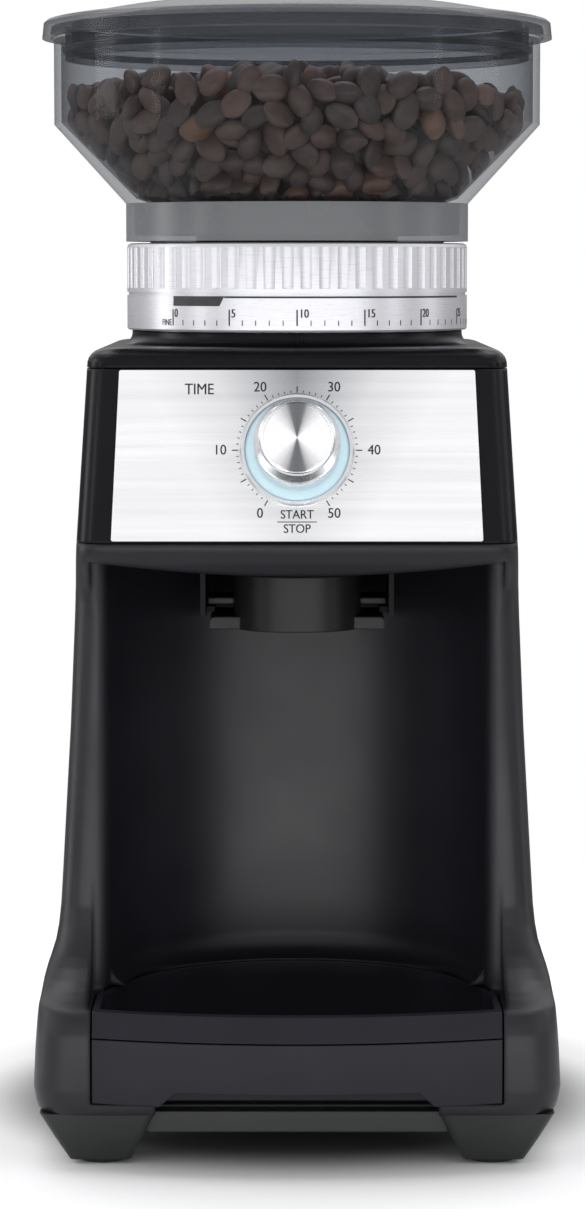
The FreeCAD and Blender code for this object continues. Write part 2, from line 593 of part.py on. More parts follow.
# the parts face the side wall, away from the motor
pb = solid(Part.makeBox(1.6, 62, 74, Vec(-46.6, 6, 68)).fuse([
    Part.makeBox(12, 24, 22, Vec(-58.6, 10, 74)), Part.makeBox(9, 17, 16, Vec(-55.6, 44, 76)),
    Part.makeCylinder(6.3, 11, Vec(-57.6, 22, 118), Vec(1, 0, 0)),
    Part.makeCylinder(5.2, 9, Vec(-55.6, 42, 112), Vec(1, 0, 0)),
    Part.makeBox(7, 30, 9, Vec(-53.6, 22, 129))]))
part("power_board", pb)
part("hopper_switch", fuse(box(6, 20, 9, 48.5, 14, 221.5), box(1.2, 16, 1.2, 50.9, 16, 230.5),
                           box(2.2, 3.2, 3.2, 50.4, 22, 230.5)))

# ---------------------------------------------------------------- grinding chamber and burrs
chamber = turned([(11.0, D.chamber_floor), (D.chamber_rad, D.chamber_floor), (D.chamber_rad, 232.5), (44.0, 232.5),
                  (44.0, 235.3), (D.chamber_bore, 235.3), (D.chamber_bore, D.chamber_deck), (11.0, D.chamber_deck)])
chamber = cut(chamber, box(13, 14, 3.0, -6.5, -42, D.chamber_deck))
part("grinding_chamber", chamber)
oy = -num(D.outlet_depth)
chute = solid(Part.makeCylinder(num(D.chute_rad), 197.0 - num(D.chute_foot), Vec(0, oy, num(D.chute_foot))).cut([
    Part.makeCylinder(num(D.chute_bore), 196.0 - num(D.chute_foot) + 1, Vec(0, oy, num(D.chute_foot) - 1)),
    Part.makeCylinder(num(D.chamber_rad) + 0.02, 60, Vec(0, 0, 150)),
    block(-6.5, 6.5, oy, -30, num(D.chamber_deck), 196.0)]))
part("grounds_chute", chute)
part("shaft_seal", tube(9.0, D.shaft_rad + 0.05, D.chamber_deck, D.chamber_deck + 1.6))
part("output_bearing", tube(11.0, D.shaft_rad + 0.04, 186.2, D.chamber_deck))
part("main_shaft", turned([(0, 174.9), (D.shaft_rad, 174.9), (D.shaft_rad, 231.4), (D.shaft_rad - 0.6, 232), (0, 232)]))
part("shaft_bush", tube(8.0, D.shaft_rad + 0.04, 174.7, 176.9))

vanes = []
for k in range(4):
    v = Part.makeBox(8.5, 2.4, 4.2, Vec(22.5, -1.2, 197.9))
    v.rotate(Vec(0, 0, 0), Vec(0, 0, 1), 90 * k + 20)
    vanes.append(v)
disc = Part.makeCylinder(31.0, 2.0, Vec(0, 0, 196.0)).fuse(Part.makeCylinder(9.0, 9.0, Vec(0, 0, 196.0)))
part("impeller", solid(disc.fuse(vanes).cut(Part.makeCylinder(num(D.shaft_rad), 20, Vec(0, 0, 190))).removeSplitter()))

b_r, b_n, b_z0, b_z1 = num(D.burr_rad), num(D.burr_nose), num(D.burr_foot), num(D.burr_top)
core = Part.makeCylinder(b_r, 3.0, Vec(0, 0, b_z0)).fuse(Part.makeCone(b_r, b_n, b_z1 - b_z0 - 3.0, Vec(0, 0, b_z0 + 3.0)))
core = core.cut(Part.makeCylinder(num(D.shaft_rad), 40, Vec(0, 0, 200)))
grooves = []
for k in range(18):
    g = Part.makeBox(3.2, 1.7, 40, Vec(0, -0.85, -20))
    g.rotate(Vec(0, 0, 0), Vec(1, 0, 0), 24)  # the cutting edges spiral
    g.rotate(Vec(0, 0, 0), Vec(0, 1, 0), -math.degrees(math.atan((b_r - b_n) / (b_z1 - b_z0 - 3.0))))
    g.translate(Vec((b_r + b_n) / 2 - 0.9, 0, (b_z0 + b_z1 + 3.0) / 2))
    g.rotate(Vec(0, 0, 0), Vec(0, 0, 1), 20 * k)
    grooves.append(g)
part("lower_burr", solid(core.cut(grooves)))
part("burr_nut", fuse(cut(cyl(9.0, 1.6, 0, 0, D.burr_top), cyl(D.shaft_rad, 5, 0, 0, 224)),
                      solid(Part.Face(Part.makePolygon([Vec(8 * math.cos(math.radians(60 * k)), 8 * math.sin(math.radians(60 * k)), 226.6)
                                                        for k in range(7)])).extrude(Vec(0, 0, 4.6)).cut(
                                                            Part.makeCylinder(num(D.shaft_rad), 12, Vec(0, 0, 222))))))

ring_b = num(D.ring_burr_rad)
bite = Part.makeCylinder(ring_b, 18.5, Vec(0, 0, 206.0)).cut([
    Part.makeCylinder(b_r + 1.1, 3.2, Vec(0, 0, 205.9)),
    Part.makeCone(b_r + 1.1, b_n + 1.1, b_z1 - b_z0 - 3.0, Vec(0, 0, 209.0)),
    Part.makeCylinder(b_n + 2.4, 20, Vec(0, 0, 208))])
notches = []
for k in range(24):
    g = Part.makeBox(2.4, 1.2, 30, Vec(-0.7, -0.6, -15))
    g.rotate(Vec(0, 0, 0), Vec(1, 0, 0), -20)
    g.rotate(Vec(0, 0, 0), Vec(0, 1, 0), -math.degrees(math.atan((b_r - b_n) / (b_z1 - b_z0 - 3.0))))
    g.translate(Vec((b_r + b_n) / 2 + 1.2, 0, (b_z0 + b_z1 + 3.0) / 2))
    g.rotate(Vec(0, 0, 0), Vec(0, 0, 1), 15 * k)
    notches.append(g)
part("upper_burr", solid(bite.cut(notches)))
part("burr_carrier", turned([(D.ring_burr_rad, 204.2), (D.carrier_rad, 204.2), (D.carrier_rad, 247.0), (D.carrier_rim, 247.0),
                             (D.carrier_rim, 254.0), (D.carrier_rim - 2.0, 254.0), (D.carrier_rim - 2.0, 249.4),
                             (D.ring_burr_rad, 249.4), (D.ring_burr_rad, 224.5), (D.ring_burr_rad - 1.8, 224.5),
                             (D.ring_burr_rad - 1.8, 225.9), (D.ring_burr_rad, 225.9)][:8] + [(D.ring_burr_rad, 204.3)]))

# lifting bail, folded flat on the carrier
bail = Part.makeTorus(35.0, 1.1, Vec(0, 0, 251.0), Vec(0, 0, 1)).common(block(-45, 45, 0, 45, 245, 256))
bail = bail.fuse([Part.makeCylinder(1.1, 7.5, Vec(-42.4, 0, 251.0), Vec(1, 0, 0)),
                  Part.makeCylinder(1.1, 7.5, Vec(34.9, 0, 251.0), Vec(1, 0, 0))])
part("lift_handle", solid(bail.removeSplitter()))
ears = []
for x in (-41.2, 38.2):
    ears.append(Part.makeBox(3.0, 5.0, 4.2, Vec(x, -2.5, 249.4)).cut(Part.makeCylinder(1.15, 20, Vec(x - 5, 0, 251.0), Vec(1, 0, 0))))
part("handle_ears", solid(ears[0].fuse(ears[1])))

# ---------------------------------------------------------------- grind size ring
ring = turned([(D.ring_bore, D.ring_foot + 2.0), (46.4, D.ring_foot + 2.0), (46.4, D.ring_skirt_foot), (D.ring_skirt_rad, D.ring_skirt_foot),
               (D.ring_skirt_rad, D.ring_foot), (D.ring_rad - 0.5, D.ring_foot), (D.ring_rad, D.ring_foot + 0.5),
               (D.ring_rad, D.ring_groove), (D.ring_rad - 0.5, D.ring_groove), (D.ring_rad - 0.5, D.ring_groove + 0.95),
               (D.ring_rad, D.ring_groove + 0.95), (D.ring_rad, D.ring_top - 1.2), (D.ring_rad - 0.35, D.ring_top - 0.35),
               (D.ring_rad - 1.2, D.ring_top), (D.ring_bore + 0.4, D.ring_top), (D.ring_bore, D.ring_top - 0.4)])
flutes = []
n_fl = int(num(D.flute_count))
for k in range(n_fl):
    a = math.radians(360.0 * (k + 0.5) / n_fl - 90.0)
    f0, f1, rr = num(D.flute_foot), num(D.flute_top), num(D.ring_rad) + 1.75
    flutes.append(Part.makeCylinder(2.45, f1 - f0, Vec(rr * math.cos(a), rr * math.sin(a), f0)))
part("grind_ring", cut(ring, solid(Part.makeCompound(flutes))))

# ---------------------------------------------------------------- hopper and lid
bowl = turned([
    (D.hopper_rad, D.hopper_top), (D.hopper_rad, D.hopper_fold), (D.neck_rad, D.cone_foot), (D.neck_rad - 2.6, D.cone_foot - 0.4),
    (D.throat_rad + 2.2, D.floor_inner - 2.4), (D.throat_rad + 2.2, D.throat_foot), (D.throat_rad, D.throat_foot),
    (D.throat_rad, D.floor_inner), (D.neck_rad - 3.2, D.cone_foot + 1.6), (D.hopper_rad - D.hopper_wall, D.hopper_fold + 0.6),
    (D.hopper_rad - D.hopper_wall, D.hopper_top)])
part("hopper_bowl", bowl)
collar_body = turned([
    (D.neck_rad, D.cone_foot - 0.05), (D.neck_rad, D.neck_foot), (D.bayonet_rad + 0.6, D.neck_foot), (D.bayonet_rad, D.neck_foot - 0.6),
    (D.bayonet_rad, D.bayonet_foot), (D.bayonet_rad - 2.4, D.bayonet_foot), (D.bayonet_rad - 2.4, D.neck_foot - 0.4),
    (D.throat_rad + 2.25, D.neck_foot - 0.4), (D.throat_rad + 2.25, D.neck_foot + 2.0), (D.neck_rad - 2.6, D.neck_foot + 2.0),
    (D.neck_rad - 2.6, D.cone_foot - 0.45)])
lugs = []
for k in range(3):
    lug = Part.makeCylinder(num(D.bayonet_rad) + 1.5, 2.6, Vec(0, 0, 257.9), Vec(0, 0, 1), 26).cut(
        Part.makeCylinder(num(D.bayonet_rad) - 0.6, 4, Vec(0, 0, 257)))
    lug.rotate(Vec(0, 0, 0), Vec(0, 0, 1), 120 * k + 12)
    lugs.append(lug)
part("hopper_collar", fuse(collar_body, solid(Part.makeCompound(lugs))))

top = num(D.overall_height)
dome = []
lid_r, rim_z = num(D.lid_rad), num(D.lid_rim_foot)
DOME = [(lid_r, rim_z), (lid_r - 0.15, rim_z + 1.2), (lid_r - 0.5, rim_z + 4.6), (lid_r - 1.5, rim_z + 5.5), (lid_r - 4.0, rim_z + 6.1),
        (67.0, 338.6), (58.0, 340.2), (46.0, 342.0), (30.0, 343.8), (14.0, 344.75), (0.0, top)]
outer = Part.BSplineCurve()
outer.interpolate([Vec(r, 0, z) for r, z in DOME[3:]], InitialTangent=Vec(-0.95, 0, 0.31), FinalTangent=Vec(-1, 0, 0))
inner = Part.BSplineCurve()
inner.interpolate([Vec(max(r - 1.4, 0), 0, z - 2.0) for r, z in DOME[3:]], InitialTangent=Vec(-0.95, 0, 0.31), FinalTangent=Vec(-1, 0, 0))
edge = [Vec(r, 0, z) for r, z in DOME[:4]]
i0 = inner.StartPoint
loop = [Part.makeLine(edge[k], edge[k + 1]) for k in range(3)] + [outer.toShape()]
loop += [Part.makeLine(Vec(0, 0, top), Vec(0, 0, top - 2.0)), inner.toShape()]
loop += [Part.makeLine(i0, Vec(lid_r - 2.6, 0, rim_z + 2.0)), Part.makeLine(Vec(lid_r - 2.6, 0, rim_z + 2.0), Vec(lid_r - 2.6, 0, rim_z)),
         Part.makeLine(Vec(lid_r - 2.6, 0, rim_z), edge[0])]
lid = Part.Face(Part.Wire(Part.__sortEdges__(loop))).revolve(Vec(0, 0, 0), Vec(0, 0, 1), 360)
s_r, s_z = num(D.lid_skirt_rad), num(D.lid_skirt_foot)
skirt = Part.makeCylinder(s_r, 11.6, Vec(0, 0, s_z)).cut(Part.makeCylinder(s_r - 2.0, 16, Vec(0, 0, s_z - 0.5)))
lid = lid.fuse(skirt).removeSplitter()
part("hopper_lid", solid(lid))
part("lid_seal", turned([(D.lid_skirt_rad, 327.0), (D.seal_rad, 327.4), (D.seal_rad, 328.6), (D.lid_skirt_rad, 329.0)]))

# ---------------------------------------------------------------- outlet cradle
cf, ct, wt, wh = num(D.cradle_foot), num(D.cradle_top), num(D.wing_top), num(D.wing_half)
collar = Part.makeCylinder(num(D.collar_rad), ct - cf, Vec(0, oy, cf))
wing = block(-wh, wh, -54.6, -24.0, cf, wt)
wing = wing.makeFillet(1.5, [e for e in wing.Edges if abs(e.BoundBox.ZMax - wt) < 1e-4 and e.BoundBox.ZLength < 1e-4 and e.BoundBox.YLength > 30])
ear = block(-26.9, 26.9, -44.0, -24.0, 160.4, 162.4)
stem = block(-12.0, 12.0, -32.0, -24.0, wt - 0.5, 161.0)
cr = collar.fuse([wing, ear, stem]).cut(Part.makeCylinder(num(D.collar_bore), 40, Vec(0, oy, 140)))
part("cradle", solid(cr.removeSplitter()))
rails = []
for sx in (-1, 1):
    web = block(min(sx * 27.3, sx * 28.8), max(sx * 27.3, sx * 28.8), -58.0, -20.0, 158.3, 173.5)
    lip_ = block(min(sx * 24.8, sx * 28.0), max(sx * 24.8, sx * 28.0), -46.0, -20.0, 158.3, 159.9)
    rails.append(web.fuse(lip_).common(scoop(0.0)))
part("cradle_rails", solid(Part.makeCompound([r.removeSplitter() for r in rails])))

# ---------------------------------------------------------------- grounds tray
tf, tt, ts = num(D.tray_foot), num(D.tray_top), num(D.tray_seam)
half, bow, tw = num(D.tray_half), num(D.tray_bow), num(D.tray_wall)
fy = -num(D.half_depth)
full = tray_plan(0.0, tf, tt - tf, fy + 0.2)
# the band above the seam leans back
bow_rad = (half * half + bow * bow) / (2 * bow)
lean_back = Part.makeCone(bow_rad + 0.01, bow_rad - 2.7, tt - ts, Vec(0, fy + 0.2 + bow_rad, ts))
keep = lean_back.fuse(Part.makeCylinder(bow_rad + 0.02, ts - tf + 1, Vec(0, fy + 0.2 + bow_rad, tf - 1)))
full = full.common(keep)
low_cut = block(-70, 70, -125, 0, tf - 1, ts + 0.1).cut(tray_plan(0.6, tf - 2, 30, fy + 3.3))
body_t = full.cut(low_cut.common(block(-70, 70, -125, fy + bow + 12, 0, 60)))
inside = tray_plan(-tw, tf + 2.2, 40, fy + 6.6)
body_t = body_t.cut(inside)
n0, n1, nt = num(D.notch_half_low), num(D.notch_half_top), num(D.notch_top)
notch = Part.Face(Part.makePolygon([Vec(-n0, -130, tf - 1), Vec(n0, -130, tf - 1), Vec(n1, -130, nt), Vec(-n1, -130, nt),
                                    Vec(-n0, -130, tf - 1)])).extrude(Vec(0, 34, 0))
grip_floor = Part.Face(Part.makePolygon([Vec(-n0 - 3, -104.7, tf), Vec(n0 + 3, -104.7, tf), Vec(n1 + 3, -104.7, nt + 2), Vec(-n1 - 3, -104.7, nt + 2),
                                         Vec(-n0 - 3, -104.7, tf)])).extrude(Vec(0, 10.9, 0))
under = Part.Face(Part.makePolygon([Vec(-60, -125, tf - 1), Vec(-60, -97.5, tf - 1), Vec(-60, -97.5, tf + 0.2), Vec(-60, -106.6, nt + 0.2),
                                    Vec(-60, -125, nt + 0.2), Vec(-60, -125, tf - 1)])).extrude(Vec(120, 0, 0))
grip_floor = grip_floor.cut(under)
body_t = body_t.fuse(grip_floor.common(tray_plan(-0.2, tf, 30, fy + 3.4))).cut(notch).removeSplitter()
part("tray_body", solid(body_t))
plate = tray_plan(0.0, tf, ts - 0.3 - tf, fy).cut(tray_plan(8.0, tf - 1, 40, fy + 3.2)).common(block(-70, 70, -125, fy + bow + 3.0, 0, 60))
plate = plate.cut(notch)
corner = [e for e in plate.Edges if e.BoundBox.ZMax < tf + 0.01 and abs(e.BoundBox.XLength) < 0.01 and abs(abs(e.BoundBox.XMax) - half) < 0.1]
if corner:
    try:
        plate = plate.makeFillet(6.5, corner)
    except Exception:
        pass
part("tray_front", solid(plate.removeSplitter()))

# ---------------------------------------------------------------- gearbox
ix, iy, my_ = num(D.idler_x), num(D.idler_y), num(D.motor_y)


def belt(circles, z, height):
    """The convex outline around circles (x, y, r), padded up."""
    pts = []
    for cx, cy, r in circles:
        for k in range(72):
            a = math.radians(5 * k)
            pts.append((cx + r * math.cos(a), cy + r * math.sin(a)))
    pts = sorted(set((round(x, 4), round(y, 4)) for x, y in pts))

    def chain(seq):
        out = []
        for p in seq:
            while len(out) > 1 and ((out[-1][0] - out[-2][0]) * (p[1] - out[-2][1]) -
                                    (out[-1][1] - out[-2][1]) * (p[0] - out[-2][0])) <= 1e-6:
                out.pop()
            out.append(p)
        return out[:-1]

    hull = chain(pts) + chain(pts[::-1])
    ring_pts = [Vec(x, y, z) for x, y in hull]
    return Part.Face(Part.makePolygon(ring_pts + [ring_pts[0]])).extrude(Vec(0, 0, height))


pf, cz, lz = num(D.plate_foot), num(D.case_top), num(D.lower_case_foot)
BIG = [(0, 0, 33.0), (ix, iy, 27.0), (0, my_, 30.0)]
LOW = [(ix, iy, 26.0), (0, my_, 30.0)]


def shrink(circles, by):
    return [(x, y, r - by) for x, y, r in circles]


mid = belt(BIG, pf, 1.6).cut([Part.makeCylinder(8.0, 5, Vec(0, 0, pf - 1)), Part.makeCylinder(9.6, 5, Vec(ix, iy, pf - 1))])
part("gearbox_plate", solid(mid))
upper = belt(BIG, pf + 1.6, cz - pf - 1.6).cut(belt(shrink(BIG, 2.6), pf + 1.0, cz - 2.6 - pf - 1.0))
upper = upper.cut([Part.makeCylinder(11.0, 20, Vec(0, 0, 175)), Part.makeCylinder(3.0, 20, Vec(ix, iy, 175))])
GEAR_SCREWS = [(-31.55, 24), (-29.6, 46), (0, 80.7), (22.5, 55.0)]
for x, y in GEAR_SCREWS:
    post = Part.makeCylinder(2.6, cz - pf - 1.6, Vec(x, y, pf + 1.6)).common(belt(BIG, pf, 30))
    upper = upper.fuse(post).cut(Part.makeCylinder(1.25, 30, Vec(x, y, 170)))
part("gearbox_case", solid(upper.removeSplitter()))
lower = belt(LOW, lz, pf - lz).cut(belt(shrink(LOW, 2.2), lz + 2.4, 30))
lower = lower.cut([Part.makeCylinder(7.0, 20, Vec(0, my_, 150)), Part.makeCylinder(3.0, 20, Vec(ix, iy, 150))])
for x, y in ((-13, my_), (5, my_ + 12)):
    lower = lower.cut(Part.makeCylinder(1.5, 10, Vec(x, y, 155)))
part("gearbox_lower_case", solid(lower))
screws("gearbox_screws", [(x, y, cz) for x, y in GEAR_SCREWS], 1.25, 11.5, 2.4, 1.5, up=False)
screws("motor_screws", [(-13, my_, lz + 2.4), (5, my_ + 12, lz + 2.4)], 1.5, 4.6, 2.7, 1.5, up=False)


def gear(teeth, module, z, width, turn=0.0, bore=0.0, thin=0.10):
    """A 20 degree involute spur gear with short addenda and a little backlash."""
    rp = teeth * module / 2.0
    rb, ra, rf_ = rp * math.cos(math.radians(20)), rp + 0.82 * module, rp - 1.15 * module
    inv = math.tan(math.radians(20)) - math.radians(20)
    half_tooth = math.pi / (2 * teeth) - thin * module / rp
    flank = []
    for k in range(6):
        r = max(rb, rf_) + (ra - max(rb, rf_)) * k / 5.0
        a = math.acos(min(rb / r, 1.0))
        flank.append((r, half_tooth + inv - (math.tan(a) - a)))
    pts = []
    for t_ in range(teeth):
        c = 2 * math.pi * t_ / teeth + math.radians(turn)
        pts.append((rf_, c - flank[0][1] - 0.02 / rp))
        pts += [(r, c - w) for r, w in flank]
        pts += [(r, c + w) for r, w in reversed(flank)]
        pts.append((rf_, c + flank[0][1] + 0.02 / rp))
    vs = [Vec(r * math.cos(a), r * math.sin(a), z) for r, a in pts]
    g = Part.Face(Part.makePolygon(vs + [vs[0]])).extrude(Vec(0, 0, width))
    return g.cut(Part.makeCylinder(bore, width + 2, Vec(0, 0, z - 1))) if bore else g


n1_, n2_ = int(num(D.pinion_teeth)), int(num(D.wheel_teeth))
m1, m2 = num(D.gear_module_one), num(D.gear_module_two)
s1, s2 = num(D.stage_one_foot), num(D.stage_two_foot)
# directions between the axes, in degrees, which set the phase of each mesh
to_idler = math.degrees(math.atan2(iy, ix))
idler_back = to_idler + 180.0
motor_to_idler = math.degrees(math.atan2(iy - my_, ix))
idler_to_motor = motor_to_idler + 180.0
# output wheel: a tooth points at the idler; idler pinion: a gap points back at it
wheel = gear(n2_, m2, s2, 7.0, to_idler).fuse(Part.makeCylinder(9.0, 8.6, Vec(0, 0, s2)))
wheel = wheel.cut(Part.makeCylinder(num(D.shaft_rad), 20, Vec(0, 0, 170)))
holes = []
for k in range(6):
    a = math.radians(60 * k + 15)
    holes.append(Part.makeCylinder(4.6, 20, Vec(17.5 * math.cos(a), 17.5 * math.sin(a), 170)))
part("output_gear", solid(wheel.cut(holes)))
pin_up = gear(n1_, m2, s2 - 0.2, 7.8, idler_back + 180.0 / n1_)
wheel_low = gear(n2_, m1, s1, 6.0, idler_to_motor)
hub = Part.makeCylinder(8.6, pf + 1.0 - s1 - 5.9, Vec(0, 0, s1 + 5.9)).fuse(
    Part.makeCylinder(5.6, s2 + 0.4 - s1 - 5.9, Vec(0, 0, s1 + 5.9)))
idler = wheel_low.fuse([hub, pin_up]).cut(Part.makeCylinder(3.05, 60, Vec(0, 0, 150)))
idler.translate(Vec(ix, iy, 0))
part("idler_gear", solid(idler))
part("idler_pin", cyl(3.0, D.case_top + 0.2 - D.lower_case_foot, D.idler_x, D.idler_y, D.lower_case_foot))
small = gear(n1_, m1, s1 + 0.1, 6.6, motor_to_idler + 180.0 / n1_, num(D.motor_shaft_rad))
small.translate(Vec(0, my_, 0))
part("motor_pinion", solid(small))

# ---------------------------------------------------------------- motor
mf = num(D.motor_foot)
can = turned([(D.motor_rad - 1.6, D.motor_foot), (D.motor_rad, D.motor_foot), (D.motor_rad, D.lower_case_foot), (7.0, D.lower_case_foot),
              (7.0, D.lower_case_foot - 3.0), (D.motor_rad - 1.6, D.lower_case_foot - 3.0)])
place(can, 0, D.motor_y, 0)
part("motor_can", cut(can, *[cyl(1.5, 6, x, y, D.lower_case_foot - 4.5) for x, y in ((-13, D.motor_y), (5, D.motor_y + 12))]))
cap = place(turned([(6.0, D.motor_foot - 4.0), (D.motor_rad, D.motor_foot - 4.0), (D.motor_rad, D.motor_foot), (6.0, D.motor_foot)]), 0, D.motor_y, 0)
part("motor_end_cap", cut(cap, *[cyl(3.2, 8, 17 * math.cos(math.radians(a)), num(D.motor_y) + 17 * math.sin(math.radians(a)), 68)
                                 for a in (45, 135, 225, 315)]))
part("motor_bearings", fuse(tube(6.0, D.motor_shaft_rad + 0.04, D.motor_foot - 4.0, D.motor_foot - 0.5, 0, my_),
                            tube(7.0, D.motor_shaft_rad + 0.04, D.lower_case_foot - 3.0, D.lower_case_foot + 0.6, 0, my_)))
magnets = []
for a in (0, 180):
    seg = Part.makeCylinder(num(D.motor_rad) - 1.6, 58, Vec(0, 0, 92), Vec(0, 0, 1), 130).cut(Part.makeCylinder(20.6, 60, Vec(0, 0, 91)))
    seg.rotate(Vec(0, 0, 0), Vec(0, 0, 1), a - 65)
    seg.translate(Vec(0, my_, 0))
    magnets.append(seg)
part("motor_magnets", solid(Part.makeCompound(magnets)))
part("motor_shaft", cyl(D.motor_shaft_rad, 100, 0, D.motor_y, 71))
stack = Part.makeCylinder(19.8, 46, Vec(0, 0, 98))
slots = []
for k in range(12):
    s = Part.makeBox(8, 2.2, 50, Vec(13.2, -1.1, 96))
    s.rotate(Vec(0, 0, 0), Vec(0, 0, 1), 30 * k)
    slots.append(s)
arm = stack.cut(slots).fuse([Part.makeCylinder(15.5, 8, Vec(0, 0, 144)), Part.makeCylinder(15.5, 8, Vec(0, 0, 90)),
                             Part.makeCylinder(8.0, 10, Vec(0, 0, 80))]).cut(Part.makeCylinder(num(D.motor_shaft_rad), 120, Vec(0, 0, 60)))
arm.translate(Vec(0, my_, 0))
part("motor_armature", solid(arm))
part("motor_brushes", fuse(*[box(8.5, 4, 6, x, my_ - 2, 82) for x in (8.4, -16.9)]))

# ---------------------------------------------------------------- checks and files
doc.recompute()
for obj in doc.Objects:
    if "Invalid" in obj.State or "Error" in obj.State:
        raise RuntimeError("feature %s (%s) failed: %s" % (obj.Name, obj.Label, obj.State))
os.makedirs("parts", exist_ok=True)
for label, obj in PARTS.items():
    shape = obj.Shape
    if shape.isNull() or not shape.isValid() or shape.Volume < 1:
        raise RuntimeError("sub-part %s has a bad shape" % label)
    if not shape.Solids:
        raise RuntimeError("sub-part %s has no solid" % label)
    shape.exportStep("parts/%s.step" % label)
    box_ = shape.BoundBox
    print("%-20s %2d solids %10.1f mm3  x %.1f..%.1f y %.1f..%.1f z %.1f..%.1f" % (
        label, len(shape.Solids), shape.Volume, box_.XMin, box_.XMax, box_.YMin, box_.YMax, box_.ZMin, box_.ZMax))
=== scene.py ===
import math
import random

import bpy
import bmesh
from mathutils import Euler, Matrix, Vector


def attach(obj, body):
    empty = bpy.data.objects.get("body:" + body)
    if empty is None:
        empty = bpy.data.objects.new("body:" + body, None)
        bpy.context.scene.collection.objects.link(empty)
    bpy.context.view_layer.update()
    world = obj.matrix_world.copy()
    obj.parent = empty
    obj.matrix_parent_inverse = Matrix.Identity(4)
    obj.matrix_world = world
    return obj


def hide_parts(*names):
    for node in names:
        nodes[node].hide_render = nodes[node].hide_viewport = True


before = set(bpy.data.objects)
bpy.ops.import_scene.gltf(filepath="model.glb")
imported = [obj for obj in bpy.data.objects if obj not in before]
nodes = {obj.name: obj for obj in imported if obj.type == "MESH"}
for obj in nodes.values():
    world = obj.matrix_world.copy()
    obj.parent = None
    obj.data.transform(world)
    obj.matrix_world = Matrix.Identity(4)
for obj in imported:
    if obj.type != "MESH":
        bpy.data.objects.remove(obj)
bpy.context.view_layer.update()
scene = bpy.context.scene
scene.view_settings.view_transform = "Standard"
scene.view_settings.look = "None"
rng = random.Random(41)

# ------------------------------------------------------------------ camera
cam_data = bpy.data.cameras.new("camera")
cam_data.lens = 107.8
cam_data.sensor_width = 36.0
cam_data.sensor_fit = "AUTO"
cam_data.shift_x = -0.0038
cam_data.clip_start, cam_data.clip_end = 0.05, 50
cam = bpy.data.objects.new("camera", cam_data)
scene.collection.objects.link(cam)
cam.location = (0.0, -1.130, 0.262)
cam.rotation_euler = (math.radians(90 - 5.35), 0, 0)
scene.camera = cam


# ------------------------------------------------------------------ materials
class Mat:
    """A small builder round one Principled material."""

    def __init__(self, name, color, rough, metal=0.0, spec=0.5):
        self.m = bpy.data.materials.new(name)
        self.m.use_nodes = True
        self.t = self.m.node_tree
        self.p = self.t.nodes["Principled BSDF"]
        self.p.inputs["Base Color"].default_value = (*color, 1)
        self.p.inputs["Roughness"].default_value = rough
        self.p.inputs["Metallic"].default_value = metal
        self.p.inputs["Specular IOR Level"].default_value = spec
        self.color, self.rough = color, rough

    def node(self, kind, **props):
        n = self.t.nodes.new(kind)
        for k, v in props.items():
            setattr(n, k, v)
        return n

    def link(self, a, b):
        self.t.links.new(a, b)

    def coords(self, scale=(1, 1, 1)):
        c = self.node("ShaderNodeTexCoord")
        m = self.node("ShaderNodeMapping")
        m.inputs["Scale"].default_value = scale
        self.link(c.outputs["Object"], m.inputs["Vector"])
        return m.outputs["Vector"]

    def noise(self, scale, detail=4.0, stretch=(1, 1, 1), rough=0.6):
        n = self.node("ShaderNodeTexNoise")
        n.inputs["Scale"].default_value = scale
        n.inputs["Detail"].default_value = detail
        n.inputs["Roughness"].default_value = rough
        self.link(self.coords(stretch), n.inputs["Vector"])
        return n.outputs["Fac"]

    def span(self, value, low, high, a=0.3, b=0.7):
        r = self.node("ShaderNodeMapRange")
        r.inputs["From Min"].default_value, r.inputs["From Max"].default_value = a, b
        r.inputs["To Min"].default_value, r.inputs["To Max"].default_value = low, high
        self.link(value, r.inputs["Value"])
        return r.outputs["Result"]

    def vary_rough(self, value, low, high):
        self.link(self.span(value, low, high), self.p.inputs["Roughness"])
        return self

    def vary_color(self, value, dark, light):
        r = self.node("ShaderNodeMix", data_type="RGBA")
        r.inputs[6].default_value = (*dark, 1)
        r.inputs[7].default_value = (*light, 1)
        self.link(self.span(value, 0, 1), r.inputs[0])
        self.link(r.outputs[2], self.p.inputs["Base Color"])
        return self

    def bump(self, value, strength, distance):
        b = self.node("ShaderNodeBump")
        b.inputs["Strength"].default_value = strength
        b.inputs["Distance"].default_value = distance
        self.link(value, b.inputs["Height"])
        self.link(b.outputs["Normal"], self.p.inputs["Normal"])
        return self


def moulded(name, color, rough, grain=2600, depth=0.00002, spread=0.07, spec=0.5, soft=0.0):
    """Moulded plastic: a fine spark-eroded grain, slightly uneven gloss and colour."""
    m = Mat(name, color, rough, spec=spec)
    wide = m.noise(16, 3)
    m.vary_rough(wide, rough - spread, rough + spread)
    m.vary_color(m.noise(45, 4), tuple(c * 0.88 for c in color), tuple(c * 1.12 for c in color))
    m.bump(m.noise(grain, 3), 0.35, depth)
    if soft:
        bev = m.node("ShaderNodeBevel")
        bev.samples = 6
        bev.inputs["Radius"].default_value = soft
        bn = [n for n in m.t.nodes if n.type == "BUMP"][0]
        m.link(bev.outputs["Normal"], bn.inputs["Normal"])
    return m.m


def metal(name, color, rough, stretch=(1, 1, 1), grain=500, spread=0.1, depth=0.00001, aniso=0.0, tone=0.08):
    m = Mat(name, color, rough, metal=1.0)
    g = m.noise(grain, 5, stretch, 0.7)
    m.vary_rough(g, max(rough - spread, 0.03), rough + spread)
    m.vary_color(g, tuple(c * (1 - tone) for c in color), tuple(min(c * (1 + tone), 1) for c in color))
    m.bump(g, 0.25, depth)
    m.p.inputs["Anisotropic"].default_value = aniso
    return m


